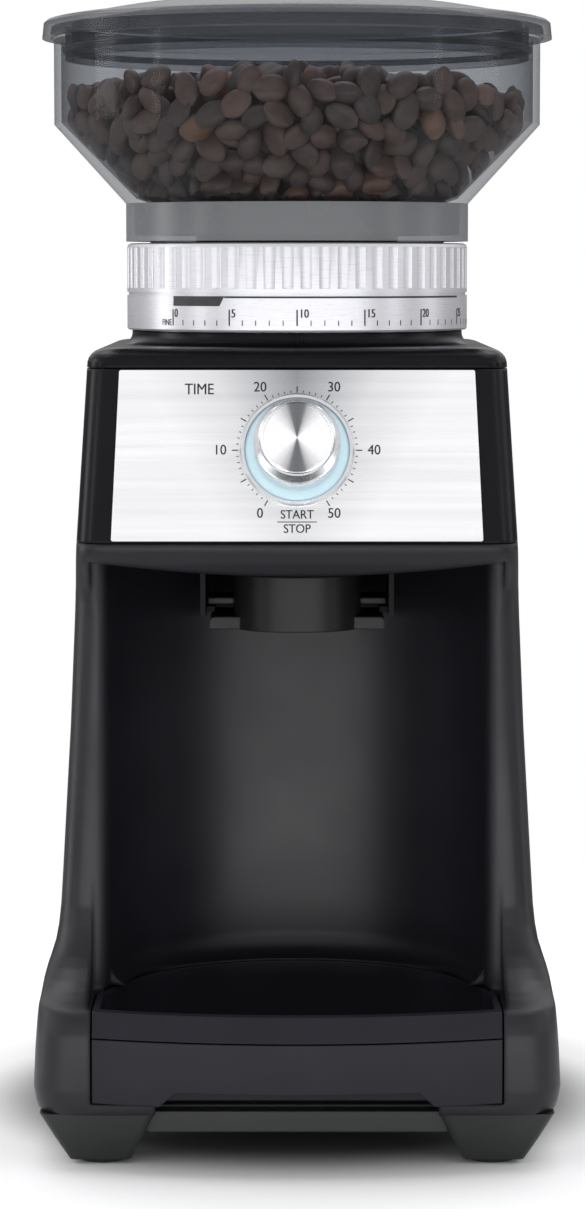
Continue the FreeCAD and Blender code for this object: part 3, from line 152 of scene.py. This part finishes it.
def clear(name, tint, color, rough, low=0.05, edge=0.6):
    """Clear moulded plastic: tinted see-through, with a glossy skin that strengthens towards the edges."""
    m = Mat(name, color, rough)
    m.vary_rough(m.noise(30, 3), max(rough - 0.02, 0.02), rough + 0.05)
    see = m.node("ShaderNodeBsdfTransparent")
    see.inputs["Color"].default_value = (*tint, 1)
    lw = m.node("ShaderNodeLayerWeight")
    lw.inputs["Blend"].default_value = 0.5
    pw = m.node("ShaderNodeMath", operation="POWER")
    pw.inputs[1].default_value = 3.0
    m.link(lw.outputs["Facing"], pw.inputs[0])
    r = m.node("ShaderNodeMapRange")
    r.inputs["From Min"].default_value, r.inputs["From Max"].default_value = 0.0, 1.0
    r.inputs["To Min"].default_value, r.inputs["To Max"].default_value = low, edge
    m.link(pw.outputs[0], r.inputs["Value"])
    mix = m.node("ShaderNodeMixShader")
    m.link(r.outputs["Result"], mix.inputs["Fac"])
    m.link(see.outputs["BSDF"], mix.inputs[1])
    m.link(m.p.outputs["BSDF"], mix.inputs[2])
    out = [n for n in m.t.nodes if n.type == "OUTPUT_MATERIAL"][0]
    m.link(mix.outputs["Shader"], out.inputs["Surface"])
    return m.m


M = {}
M["body"] = moulded("charcoal_plastic", (0.0075, 0.0070, 0.0100), 0.40, spec=0.30, soft=0.0024)
M["head"] = moulded("charcoal_plastic_head", (0.0042, 0.0041, 0.0060), 0.26, spec=0.12, soft=0.0012)
M["cradle"] = moulded("charcoal_plastic_cradle", (0.0065, 0.0067, 0.0071), 0.40, spec=0.20, soft=0.0008)
M["hidden"] = moulded("black_plastic", (0.0030, 0.0030, 0.0034), 0.55, spec=0.12)
M["tray"] = moulded("charcoal_plastic_tray", (0.0130, 0.0122, 0.0165), 0.38, spec=0.12, soft=0.0006)
M["base"] = moulded("dark_grey_plastic", (0.017, 0.0185, 0.018), 0.42, spec=0.35, soft=0.0007)
M["inner"] = moulded("structural_plastic", (0.045, 0.045, 0.047), 0.5)
M["rubber"] = moulded("soft_rubber", (0.012, 0.012, 0.012), 0.75, grain=1200, depth=0.00005)
M["smoke"] = clear("smoke_clear_plastic", (0.77, 0.78, 0.795), (0.06, 0.062, 0.068), 0.05, 0.07, 0.62)
M["lid"] = clear("smoke_lid_plastic", (0.78, 0.79, 0.81), (0.055, 0.060, 0.067), 0.22, 0.12, 0.97)
M["neck"] = clear("grey_translucent_plastic", (0.60, 0.61, 0.63), (0.24, 0.25, 0.26), 0.26, 0.5, 0.95)
M["seal"] = clear("lid_gasket", (0.75, 0.76, 0.77), (0.16, 0.165, 0.17), 0.5, 0.35, 0.8)
satin = metal("satin_silver", (0.62, 0.62, 0.655), 0.30, (0.3, 0.3, 40), 420, 0.05, 0.000004, aniso=0.3, tone=0.02)
satin.p.inputs["Metallic"].default_value = 0.45
M["ring"] = satin.m
bright = metal("turned_bright_metal", (0.66, 0.67, 0.69), 0.24, (1, 1, 1), 300, 0.05, tone=0.03)
bright.p.inputs["Metallic"].default_value = 0.85
M["chrome"] = bright.m
M["steel"] = metal("turned_steel", (0.55, 0.55, 0.57), 0.3).m
M["burr"] = metal("ground_burr_steel", (0.6, 0.6, 0.61), 0.28, (1, 1, 12), 700).m
M["alloy"] = metal("die_cast_alloy", (0.55, 0.56, 0.58), 0.45, (1, 1, 1), 900, 0.12, 0.00003).m
M["nylon"] = moulded("natural_nylon", (0.70, 0.67, 0.58), 0.42)
M["windings"] = metal("copper_windings", (0.62, 0.30, 0.16), 0.35, (1, 1, 30), 400).m
M["ferrite"] = moulded("ferrite", (0.05, 0.05, 0.055), 0.6, grain=1500, depth=0.00006)
M["board"] = moulded("circuit_board", (0.015, 0.11, 0.045), 0.4)

# brushed sheet with its grain running across the panel; the base colour carries a painted reflection, darker in the
# upper middle and lighter towards the sides and the bottom
steel = Mat("brushed_stainless_panel", (0.7, 0.7, 0.7), 0.3, metal=1.0)
fine = steel.noise(900, 6, (0.012, 1, 1), 0.75)
long_grain = steel.noise(220, 4, (0.02, 1, 1), 0.6)
steel.vary_rough(fine, 0.22, 0.40)
steel.bump(fine, 0.30, 0.000012)
steel.p.inputs["Anisotropic"].default_value = 0.6
geo = steel.node("ShaderNodeTexCoord")
sep = steel.node("ShaderNodeSeparateXYZ")
steel.link(geo.outputs["Object"], sep.inputs["Vector"])
# painted reflection: the base colour is set by the distance from the panel's middle and by the drop below its top
# edge
absx = steel.node("ShaderNodeMath", operation="ABSOLUTE")
steel.link(sep.outputs["X"], absx.inputs[0])
painted_reflection_ramp = steel.node("ShaderNodeValToRGB")
painted_reflection_ramp.color_ramp.elements[0].position, painted_reflection_ramp.color_ramp.elements[0].color = 0.0, (0.30, 0.31, 0.33, 1)
painted_reflection_ramp.color_ramp.elements[1].position, painted_reflection_ramp.color_ramp.elements[1].color = 1.0, (0.97, 0.97, 0.98, 1)
e = painted_reflection_ramp.color_ramp.elements.new(0.55)
e.color = (0.80, 0.80, 0.815, 1)
drop = steel.node("ShaderNodeMath", operation="MULTIPLY_ADD")
drop.inputs[1].default_value = -0.55
drop.inputs[2].default_value = 0.55 * 0.2315
steel.link(sep.outputs["Z"], drop.inputs[0])
painted_reflection_fac = steel.node("ShaderNodeMath", operation="ADD")
steel.link(absx.outputs[0], painted_reflection_fac.inputs[0])
steel.link(drop.outputs[0], painted_reflection_fac.inputs[1])
steel.link(steel.span(painted_reflection_fac.outputs[0], 0, 1, 0.0, 0.046), painted_reflection_ramp.inputs["Fac"])
tone = steel.node("ShaderNodeMix", data_type="RGBA", blend_type="MULTIPLY")
tone.inputs[0].default_value = 1.0
grey = steel.node("ShaderNodeValToRGB")
grey.color_ramp.elements[0].color = (0.86, 0.86, 0.86, 1)
grey.color_ramp.elements[1].color = (1, 1, 1, 1)
steel.link(steel.span(long_grain, 0, 1), grey.inputs["Fac"])
steel.link(painted_reflection_ramp.outputs["Color"], tone.inputs[6])
steel.link(grey.outputs["Color"], tone.inputs[7])
steel.link(tone.outputs[2], steel.p.inputs["Base Color"])
M["panel"] = steel.m

glow = Mat("light_guide", (0.78, 0.92, 0.96), 0.35)
glow.vary_color(glow.noise(120, 2), (0.42, 0.54, 0.58), (0.48, 0.60, 0.63))
glow.p.inputs["Emission Color"].default_value = (0.62, 0.88, 1.0, 1)
glow.p.inputs["Emission Strength"].default_value = 0.30
M["glow"] = glow.m

ink = Mat("printed_ink", (0.018, 0.018, 0.02), 0.45)
ink.vary_color(ink.noise(400, 2), (0.014, 0.014, 0.016), (0.024, 0.024, 0.027))
M["ink"] = ink.m

SHOW = {
    "body": ["front_housing", "rear_housing"], "head": ["head_shell", "top_cover"], "cradle": ["cradle"], "hidden": ["cradle_rails", "grounds_chute"],
    "tray": ["tray_body", "tray_front"], "base": ["base_pan"], "panel": ["front_panel"], "rubber": ["foot_pads", "cord_inlet", "shaft_seal"],
    "smoke": ["hopper_bowl"], "lid": ["hopper_lid"], "neck": ["hopper_collar"], "seal": ["lid_seal"], "ring": ["grind_ring"],
    "chrome": ["dial_bezel", "timer_knob", "knob_cap"], "glow": ["light_ring"],
    "steel": ["base_screws", "encoder_shaft", "output_bearing", "main_shaft", "shaft_bush", "burr_nut", "lift_handle", "gearbox_screws",
              "motor_screws", "idler_pin", "motor_pinion", "motor_can", "motor_bearings", "motor_shaft"],
    "burr": ["lower_burr", "upper_burr"], "alloy": ["gearbox_plate", "gearbox_case", "gearbox_lower_case"],
    "nylon": ["output_gear", "idler_gear"], "windings": ["motor_armature"], "ferrite": ["motor_magnets", "motor_brushes"],
    "board": ["control_board", "power_board"],
    "inner": ["encoder_plunger", "timer_encoder", "hopper_switch", "grinding_chamber", "impeller", "burr_carrier",
              "handle_ears", "motor_end_cap"],
}
for key, names in SHOW.items():
    for n in names:
        o = nodes[n]
        o.data.materials.clear()
        o.data.materials.append(M[key])
        for poly in o.data.polygons:
            poly.material_index = 0

for n in ("front_housing", "rear_housing", "head_shell", "top_cover", "base_pan"):
    me = nodes[n].data
    if "custom_normal" in me.attributes:
        me.attributes.remove(me.attributes["custom_normal"])
    me.shade_smooth()
    me.set_sharp_from_angle(angle=math.radians(24))

LEAN = math.radians(13.35)
DIAL = Vector((0, -0.06913, 0.208))
PANEL_ROT = Matrix.Rotation(math.radians(90) - LEAN, 4, "X")
RING_R = 0.05275


def finish_piece(me, name, material, body, matrix=None, smooth=True, angle=35):
    me.name = name
    o = bpy.data.objects.new(name, me)
    scene.collection.objects.link(o)
    if matrix is not None:
        o.matrix_world = matrix
    if material is not None:
        me.materials.clear()
        me.materials.append(material)
    if smooth:
        me.shade_smooth()
        me.set_sharp_from_angle(angle=math.radians(angle))
    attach(o, body)
    return o


# ------------------------------------------------------------------ coffee beans
def bean_mesh(length, width, high, groove, seg=14, rings=9):
    """One roasted bean: a domed back, a flatter face and the crease along it."""
    vs, fs = [], []
    for i in range(rings + 1):
        th = math.pi * i / rings
        for j in range(seg):
            ph = 2 * math.pi * j / seg
            x = math.cos(th) * length / 2
            y = math.sin(th) * math.cos(ph) * width / 2
            z = math.sin(th) * math.sin(ph) * high
            if z < 0:
                z *= 0.55
                z += groove * math.exp(-(y / (width * 0.11)) ** 2) * max(math.sin(th), 0) ** 0.5
            vs.append((x, y, z))
    for i in range(rings):
        for j in range(seg):
            a, b = i * seg + j, i * seg + (j + 1) % seg
            fs.append((a, b, b + seg, a + seg))
    return vs, fs


def hopper_inner(z):
    """The bowl's inner radius at a height, in metres."""
    z *= 1000
    if z > 305.8:
        r = 72.8
    elif z > 282.6:
        r = 49.8 + (72.8 - 49.8) * (z - 282.6) / (305.8 - 282.6)
    else:
        r = 29 + (49.8 - 29) * max(z - 275.5, 0) / 7.1
    return r / 1000


def heap_top(x, y):
    """The uneven top of the heap."""
    return 0.3130 + 0.0046 * math.exp(-(x / 0.048) ** 2) + 0.0016 * math.sin(70 * x + 1.0) * math.cos(55 * y) + 0.0012 * math.sin(190 * x + 40 * y)


def make_beans():
    placed, cells = [], {}
    step = 0.0078

    def free(p, gap):
        k = tuple(int(c // step) for c in p)
        for dx in (-1, 0, 1):
            for dy in (-1, 0, 1):
                for dz in (-1, 0, 1):
                    for q in cells.get((k[0] + dx, k[1] + dy, k[2] + dz), ()):
                        if (p[0] - q[0]) ** 2 + (p[1] - q[1]) ** 2 + (p[2] - q[2]) ** 2 < gap * gap:
                            return False
        cells.setdefault(k, []).append(p)
        return True

    def throw(count, depth_low, depth_high, gap):
        for _ in range(count):
            z = rng.uniform(0.2795, 0.3245)
            a = rng.uniform(0, 2 * math.pi)
            r_in = hopper_inner(z) - 0.0046
            r = r_in - rng.uniform(depth_low, depth_high)
            if r < 0.004:
                continue
            p = (r * math.cos(a), r * math.sin(a), z)
            if z > heap_top(p[0], p[1]) or z < 0.2778 + max(0.0, (r - 0.03)) * 0.3:
                continue
            if free(p, gap):
                placed.append((p, a, depth_low < 0.003))

    throw(20000, 0.0, 0.0016, 0.0066)
    throw(16000, 0.0045, 0.0085, 0.0066)
    for _ in range(9000):  # the heap's surface and the layer under it
        a, r = rng.uniform(0, 2 * math.pi), 0.068 * math.sqrt(rng.random())
        x, y = r * math.cos(a), r * math.sin(a)
        z = heap_top(x, y) - rng.uniform(0, 0.009) + 0.0012
        if free((x, y, z), 0.0068):
            placed.append(((x, y, z), a, False))
    throw(7000, 0.010, 0.017, 0.0074)
    vs, fs, tones = [], [], []
    for (p, a, near_wall) in placed:
        k = rng.uniform(0.90, 1.14)
        bv, bf = bean_mesh(0.0101 * k, 0.0074 * k * rng.uniform(0.93, 1.08), 0.0031 * k, 0.0010)
        if near_wall:  # lying against the wall: thin side towards it, long side any way along it
            spin = Matrix.Rotation(rng.uniform(0, 2 * math.pi), 3, "Z")
            flip = Matrix.Rotation(math.pi if rng.random() < 0.45 else 0.0, 3, "X")
            tilt = Euler((rng.gauss(0, 0.30), rng.gauss(0, 0.30), 0)).to_matrix()
            up = Matrix.Rotation(math.pi / 2, 3, "Y")
            rot = Matrix.Rotation(a, 3, "Z") @ up @ tilt @ spin @ flip
        else:
            rot = Euler((rng.uniform(0, 6.28), rng.uniform(0, 6.28), rng.uniform(0, 6.28))).to_matrix()
        base = len(vs)
        bend = rng.uniform(-0.08, 0.08)
        for v in bv:
            q = Vector(v)
            q.z += bend * q.x * q.x * 100
            w = rot @ q + Vector(p)
            r = math.hypot(w.x, w.y)
            lim = hopper_inner(w.z) - 0.0006
            if r > lim:
                w.x, w.y = w.x * lim / r, w.y * lim / r
            w.z = max(w.z, 0.2763 + max(0.0, r - 0.031) * 0.36)
            vs.append(w)
        fs += [tuple(base + i for i in f) for f in bf]
        t = min(max(rng.gauss(0.40, 0.22), 0.0), 1.0)
        tones += [t] * len(bv)
    me = bpy.data.meshes.new("coffee_beans")
    me.from_pydata(vs, [], fs)
    att = me.attributes.new("tone", "FLOAT", "POINT")
    att.data.foreach_set("value", tones)
    bm = bmesh.new()
    bm.from_mesh(me)
    bmesh.ops.remove_doubles(bm, verts=bm.verts, dist=0.00001)
    bmesh.ops.recalc_face_normals(bm, faces=bm.faces)
    bm.to_mesh(me)
    bm.free()
    m = Mat("roasted_beans", (0.03, 0.015, 0.01), 0.38)
    tone_in = m.node("ShaderNodeAttribute", attribute_name="tone")
    r = m.node("ShaderNodeValToRGB")
    r.color_ramp.elements[0].position, r.color_ramp.elements[0].color = 0.0, (0.115, 0.084, 0.075, 1)
    r.color_ramp.elements[1].position, r.color_ramp.elements[1].color = 1.0, (0.38, 0.19, 0.105, 1)
    mid = r.color_ramp.elements.new(0.6)
    mid.color = (0.22, 0.142, 0.116, 1)
    m.link(tone_in.outputs["Fac"], r.inputs["Fac"])
    mottle = m.noise(260, 4)
    mx = m.node("ShaderNodeMix", data_type="RGBA", blend_type="MULTIPLY")
    mx.inputs[0].default_value = 1.0
    g = m.node("ShaderNodeValToRGB")
    g.color_ramp.elements[0].color = (0.62, 0.6, 0.58, 1)
    g.color_ramp.elements[1].color = (1, 1, 1, 1)
    m.link(m.span(mottle, 0, 1), g.inputs["Fac"])
    m.link(r.outputs["Color"], mx.inputs[6])
    m.link(g.outputs["Color"], mx.inputs[7])
    m.link(mx.outputs[2], m.p.inputs["Base Color"])
    m.vary_rough(mottle, 0.30, 0.50)
    m.bump(m.noise(900, 4), 0.5, 0.00008)
    return finish_piece(me, "coffee_beans", m.m, "hopper", angle=60)


beans = make_beans()


# ------------------------------------------------------------------ printed marks
def text_mesh(words, size, thick=0.00005, bold=0.0, align="CENTER"):
    c = bpy.data.curves.new("txt", "FONT")
    c.body, c.size, c.extrude, c.offset = words, size, thick, bold
    c.align_x, c.align_y = align, "CENTER"
    c.resolution_u = 4
    o = bpy.data.objects.new("txt", c)
    scene.collection.objects.link(o)
    bpy.context.view_layer.update()
    me = bpy.data.meshes.new_from_object(o.evaluated_get(bpy.context.evaluated_depsgraph_get()))
    bpy.data.objects.remove(o)
    bpy.data.curves.remove(c)
    return me


def slab(cx, cy, w, h, thick=0.00005, turn=0.0):
    """A thin printed bar, centred at cx, cy."""
    vs = []
    for z in (-thick, thick):
        for x, y in ((-w / 2, -h / 2), (w / 2, -h / 2), (w / 2, h / 2), (-w / 2, h / 2)):
            vs.append(((x * math.cos(turn) - y * math.sin(turn)) + cx, (x * math.sin(turn) + y * math.cos(turn)) + cy, z))
    return vs, [(3, 2, 1, 0), (4, 5, 6, 7), (0, 1, 5, 4), (1, 2, 6, 5), (2, 3, 7, 6), (3, 0, 4, 7)]


class Print:
    """Gathers flat marks (x across, y up, in metres) into one mesh."""

    def __init__(self):
        self.v, self.f = [], []

    def add(self, vs, fs, dx=0.0, dy=0.0, sx=1.0):
        at = len(self.v)
        self.v += [Vector((v[0] * sx + dx, v[1] + dy, v[2])) for v in vs]
        self.f += [tuple(at + i for i in f) for f in fs]

    def text(self, words, size, x, y, bold=0.0, align="CENTER", sx=1.0):
        me = text_mesh(words, size, align=align)
        for dx in (-bold, 0.0, bold):
            self.add([v.co for v in me.vertices], [tuple(p.vertices) for p in me.polygons], x + dx, y, sx)
        bpy.data.meshes.remove(me)

    def bar(self, *a, **k):
        vs, fs = slab(*a, **k)
        self.add(vs, fs)

    def mesh(self, name, warp=None):
        me = bpy.data.meshes.new(name)
        me.from_pydata([warp(v) if warp else v for v in self.v], [], self.f)
        me.update()
        return me


# the dial's time scale: 0 to 50 round 300 degrees
scale = Print()
for k in range(51):
    a = math.radians(210 - 6 * k + 30)  # 0 at seven o'clock, 50 at five o'clock
    ang = math.radians(240 - 6 * k)
    long_tick = k % 5 == 0
    r0, r1 = 0.0172, 0.0191 if long_tick else 0.0179
    r = (r0 + r1) / 2
    scale.bar(r * math.cos(ang), r * math.sin(ang), r1 - r0, 0.00034 if long_tick else 0.00026, turn=ang)
for k, words in ((0, "0"), (10, "10"), (20, "20"), (30, "30"), (40, "40"), (50, "50")):
    ang = math.radians(240 - 6 * k)
    r = 0.0217 if k in (0, 50, 20, 30) else 0.0226
    scale.text(words, 0.0042, r * math.cos(ang), r * math.sin(ang), bold=0.00004, sx=0.92)
scale.text("TIME", 0.0047, -0.0287, 0.0181, bold=0.00004, sx=0.86)
scale.text("START", 0.0037, 0.0, -0.0192, bold=0.00004, sx=0.9)
scale.text("STOP", 0.0037, 0.0, -0.0234, bold=0.00004, sx=0.9)
scale.bar(0.0, -0.0213, 0.0116, 0.00028)
dial_print = finish_piece(scale.mesh("dial_print"), "dial_print", M["ink"], "chassis",
                          Matrix.Translation(DIAL) @ PANEL_ROT @ Matrix.Translation((0, 0, 0.00036)), smooth=False)


def wrap(radius):
    """Flat marks onto the ring's outside: x goes round it, y is the height."""
    def f(v):
        a = v.x / RING_R
        r = radius + v.z
        return Vector((r * math.sin(a), -r * math.cos(a), v.y))
    return f


UNIT = math.radians(4.5) * RING_R
ring_print = Print()
for k in range(61):
    x = (k - 10) * UNIT
    long_tick = k % 5 == 0
    z0, z1 = (0.2441, 0.2489) if long_tick else (0.2441, 0.2457)
    ring_print.bar(x, (z0 + z1) / 2, 0.00048 if long_tick else 0.00030, z1 - z0)
    if long_tick:
        ring_print.text(str(k), 0.0036, x + 0.0006, 0.24765, bold=0.00010, align="LEFT", sx=0.82)
ring_print.text("FINE", 0.0026, -10 * UNIT - 0.0006, 0.2449, bold=0.00005, align="RIGHT", sx=0.85)
ring_marks = finish_piece(ring_print.mesh("ring_scale_print", wrap(RING_R)), "ring_scale_print", M["ink"], "ring", smooth=False)

# the plain band flag at the fine end of the ring, and its line
flag = Print()
n = 24
x0, x1 = -10 * UNIT + 0.0002, -5.4 * UNIT
low_z, top_z = 0.2499, 0.25285


def strip(xs, lows, tops):
    vs, fs = [], []
    for x, a, b in zip(xs, lows, tops):
        for z in (-0.00004, 0.00005):
            vs += [(x, a, z), (x, b, z)]
    for i in range(len(xs) - 1):
        q, w = 4 * i, 4 * (i + 1)
        fs += [(q + 2, w + 2, w + 3, q + 3), (q + 1, q + 3, w + 3, w + 1), (q, w, w + 2, q + 2), (q, q + 1, w + 1, w)]
    fs += [(0, 2, 3, 1), (len(vs) - 4, len(vs) - 3, len(vs) - 1, len(vs) - 2)]
    return vs, fs


xs = [x0 + (x1 - x0) * i / n for i in range(n + 1)]
slant = 0.0016
flag.add(*strip([min(x, x1) for x in xs], [low_z + max(0.0, (x - (x1 - slant)) / slant) * (top_z - low_z) * 0.98 for x in xs], [top_z] * len(xs)))
xs2 = [x1 + (15.0 * UNIT - x1) * i / 60 for i in range(61)]
flag.add(*strip(xs2, [0.25228] * 61, [top_z] * 61))
finish_piece(flag.mesh("ring_flag_print", wrap(RING_R)), "ring_flag_print", M["ink"], "ring", smooth=False)


# ------------------------------------------------------------------ spun dial face
def spun_face():
    me = bpy.data.meshes.new("knob_spun_face")
    prof = [(0.0, 18.6), (10.15, 18.6), (10.6, 18.9), (10.6, 20.45), (10.45, 20.72), (10.05, 20.86), (9.75, 20.80), (9.62, 20.66), (4.8, 20.53), (0.0, 20.44)]
    vs, fs, seg = [], [], 96
    for r, z in prof:
        for j in range(seg):
            a = 2 * math.pi * j / seg
            vs.append((r * math.cos(a) / 1000, r * math.sin(a) / 1000, z / 1000))
    for i in range(len(prof) - 1):
        for j in range(seg):
            q = i * seg + j
            w = i * seg + (j + 1) % seg
            fs.append((q, w, w + seg, q + seg))
    me.from_pydata(vs, [], fs)
    bm = bmesh.new()
    bm.from_mesh(me)
    bmesh.ops.remove_doubles(bm, verts=bm.verts, dist=0.0000001)
    bmesh.ops.recalc_face_normals(bm, faces=bm.faces)
    bm.to_mesh(me)
    bm.free()
    m = Mat("spun_metal_face", (0.8, 0.8, 0.82), 0.24, metal=1.0)
    c = m.node("ShaderNodeTexCoord")
    s = m.node("ShaderNodeSeparateXYZ")
    m.link(c.outputs["Object"], s.inputs["Vector"])
    xy = m.node("ShaderNodeCombineXYZ")
    m.link(s.outputs["X"], xy.inputs["X"])
    m.link(s.outputs["Y"], xy.inputs["Y"])
    ln = m.node("ShaderNodeVectorMath", operation="LENGTH")
    m.link(xy.outputs["Vector"], ln.inputs[0])
    turned_lines = m.node("ShaderNodeTexNoise", noise_dimensions="1D")
    turned_lines.inputs["Scale"].default_value = 4200
    turned_lines.inputs["Detail"].default_value = 3
    m.link(ln.outputs["Value"], turned_lines.inputs["W"])
    m.vary_rough(turned_lines.outputs["Fac"], 0.17, 0.33)
    m.bump(turned_lines.outputs["Fac"], 0.25, 0.00001)
    # painted highlight: the base colour follows the angle round the face, dark wedges above and below the middle and
    # bright ones to the sides, standing in for the spun face's reflection
    ang = m.node("ShaderNodeMath", operation="ARCTAN2")
    m.link(s.outputs["Y"], ang.inputs[0])
    m.link(s.outputs["X"], ang.inputs[1])
    two = m.node("ShaderNodeMath", operation="MULTIPLY")
    two.inputs[1].default_value = 2.0
    m.link(ang.outputs[0], two.inputs[0])
    painted_wedge_highlight = m.node("ShaderNodeMath", operation="COSINE")
    m.link(two.outputs[0], painted_wedge_highlight.inputs[0])
    r = m.node("ShaderNodeValToRGB")
    r.color_ramp.elements[0].position, r.color_ramp.elements[0].color = 0.0, (0.16, 0.165, 0.18, 1)
    r.color_ramp.elements[1].position, r.color_ramp.elements[1].color = 1.0, (0.98, 0.98, 0.99, 1)
    for at, v in ((0.045, 0.20), (0.12, 0.50), (0.30, 0.74), (0.60, 0.95)):
        el = r.color_ramp.elements.new(at)
        el.color = (v, v, v * 1.02, 1)
    m.link(m.span(painted_wedge_highlight.outputs[0], 0, 1, -1.0, 1.0), r.inputs["Fac"])
    m.link(r.outputs["Color"], m.p.inputs["Base Color"])
    m.p.inputs["Anisotropic"].default_value = 0.75
    tan = m.node("ShaderNodeTangent", direction_type="RADIAL", axis="Z")
    m.link(tan.outputs["Tangent"], m.p.inputs["Tangent"])
    o = finish_piece(me, "knob_spun_face", m.m, "dial", Matrix.Translation(DIAL) @ PANEL_ROT, angle=28)
    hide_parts("knob_cap")
    return o


spun_face()

# ------------------------------------------------------------------ stage and lights
bm = bmesh.new()
bmesh.ops.create_grid(bm, x_segments=2, y_segments=2, size=6.0)
floor_me = bpy.data.meshes.new("floor")
bm.to_mesh(floor_me)
bm.free()
floor = bpy.data.objects.new("floor", floor_me)
scene.collection.objects.link(floor)
floor.location = (0, 0, 0)
fm = Mat("pale_floor", (0.93, 0.93, 0.935), 0.7, spec=0.1)
fm.vary_color(fm.noise(3, 2), (0.92, 0.92, 0.925), (0.94, 0.94, 0.945))
fc = fm.node("ShaderNodeTexCoord")
fl = fm.node("ShaderNodeVectorMath", operation="LENGTH")
fm.link(fc.outputs["Object"], fl.inputs[0])
fade = fm.node("ShaderNodeMapRange", interpolation_type="SMOOTHERSTEP")
fade.inputs["From Min"].default_value, fade.inputs["From Max"].default_value = 0.20, 0.46
fm.link(fl.outputs["Value"], fade.inputs["Value"])
fclear = fm.node("ShaderNodeBsdfTransparent")
fmix = fm.node("ShaderNodeMixShader")
fm.link(fade.outputs["Result"], fmix.inputs["Fac"])
# painted contact shadow: a dark diffuse blended in near the floor's middle, under and just round the base
painted_contact_shadow = fm.node("ShaderNodeBsdfDiffuse")
painted_contact_shadow.inputs["Color"].default_value = (0.06, 0.06, 0.063, 1)
under = fm.node("ShaderNodeMapRange", interpolation_type="SMOOTHSTEP")
under.inputs["From Min"].default_value, under.inputs["From Max"].default_value = 0.072, 0.108
under.inputs["To Min"].default_value, under.inputs["To Max"].default_value = 0.85, 0.0
fm.link(fl.outputs["Value"], under.inputs["Value"])
shade = fm.node("ShaderNodeMixShader")
fm.link(under.outputs["Result"], shade.inputs["Fac"])
fm.link(fm.p.outputs["BSDF"], shade.inputs[1])
fm.link(painted_contact_shadow.outputs["BSDF"], shade.inputs[2])
fm.link(shade.outputs["Shader"], fmix.inputs[1])
fm.link(fclear.outputs["BSDF"], fmix.inputs[2])
fm.link(fmix.outputs["Shader"], [n for n in fm.t.nodes if n.type == "OUTPUT_MATERIAL"][0].inputs["Surface"])
floor_me.materials.append(fm.m)

world = bpy.data.worlds.new("studio")
scene.world = world
world.use_nodes = True
wt = world.node_tree
bg = wt.nodes["Background"]
wc = wt.nodes.new("ShaderNodeTexCoord")
wsep = wt.nodes.new("ShaderNodeSeparateXYZ")
wt.links.new(wc.outputs["Generated"], wsep.inputs["Vector"])
wr = wt.nodes.new("ShaderNodeMapRange")
wr.inputs["From Min"].default_value, wr.inputs["From Max"].default_value = -0.5, 1.0
wt.links.new(wsep.outputs["Z"], wr.inputs["Value"])
wramp = wt.nodes.new("ShaderNodeValToRGB")
levels = ((0.0, 0.30), (0.20, 0.40), (0.28, 0.28), (0.36, 0.12), (0.42, 0.20), (0.52, 1.02), (0.70, 1.05), (1.0, 0.5))
for i, (pos, v) in enumerate(levels):
    el = wramp.color_ramp.elements[i] if i < 2 else wramp.color_ramp.elements.new(pos)
    el.position, el.color = pos, (v, v, v * 1.01, 1)
wt.links.new(wr.outputs["Result"], wramp.inputs["Fac"])
wt.links.new(wramp.outputs["Color"], bg.inputs["Color"])
bg.inputs["Strength"].default_value = 1.0
white = wt.nodes.new("ShaderNodeBackground")
white.inputs["Color"].default_value = (1, 1, 1, 1)
white.inputs["Strength"].default_value = 1.0
lp = wt.nodes.new("ShaderNodeLightPath")
wmix = wt.nodes.new("ShaderNodeMixShader")
wt.links.new(lp.outputs["Is Camera Ray"], wmix.inputs["Fac"])
wt.links.new(bg.outputs["Background"], wmix.inputs[1])
wt.links.new(white.outputs["Background"], wmix.inputs[2])
wt.links.new(wmix.outputs["Shader"], wt.nodes["World Output"].inputs["Surface"])


def area(name, place, target, size, power, color=(1, 1, 1)):
    d = bpy.data.lights.new(name, "AREA")
    d.shape = "RECTANGLE"
    d.size, d.size_y = size
    d.energy = power
    d.color = color
    o = bpy.data.objects.new(name, d)
    scene.collection.objects.link(o)
    o.location = place
    o.rotation_euler = (Vector(target) - Vector(place)).to_track_quat("-Z", "Y").to_euler()
    return o


area("left_softbox", (-1.30, -0.55, 0.36), (0, 0, 0.22), (0.13, 0.9), 1.8)
area("right_softbox", (1.30, -0.55, 0.36), (0, 0, 0.22), (0.13, 0.9), 1.3)
area("left_rim", (-1.0, 0.15, 0.30), (0, 0, 0.18), (0.25, 0.9), 2.6)
area("right_rim", (1.0, 0.15, 0.30), (0, 0, 0.18), (0.25, 0.9), 1.0)
area("top_softbox", (0, 0.35, 1.4), (0, 0, 0.2), (1.6, 1.2), 15)
area("front_softbox", (0, -1.9, -0.09), (0, 0, 0.12), (4.2, 0.48), 34)
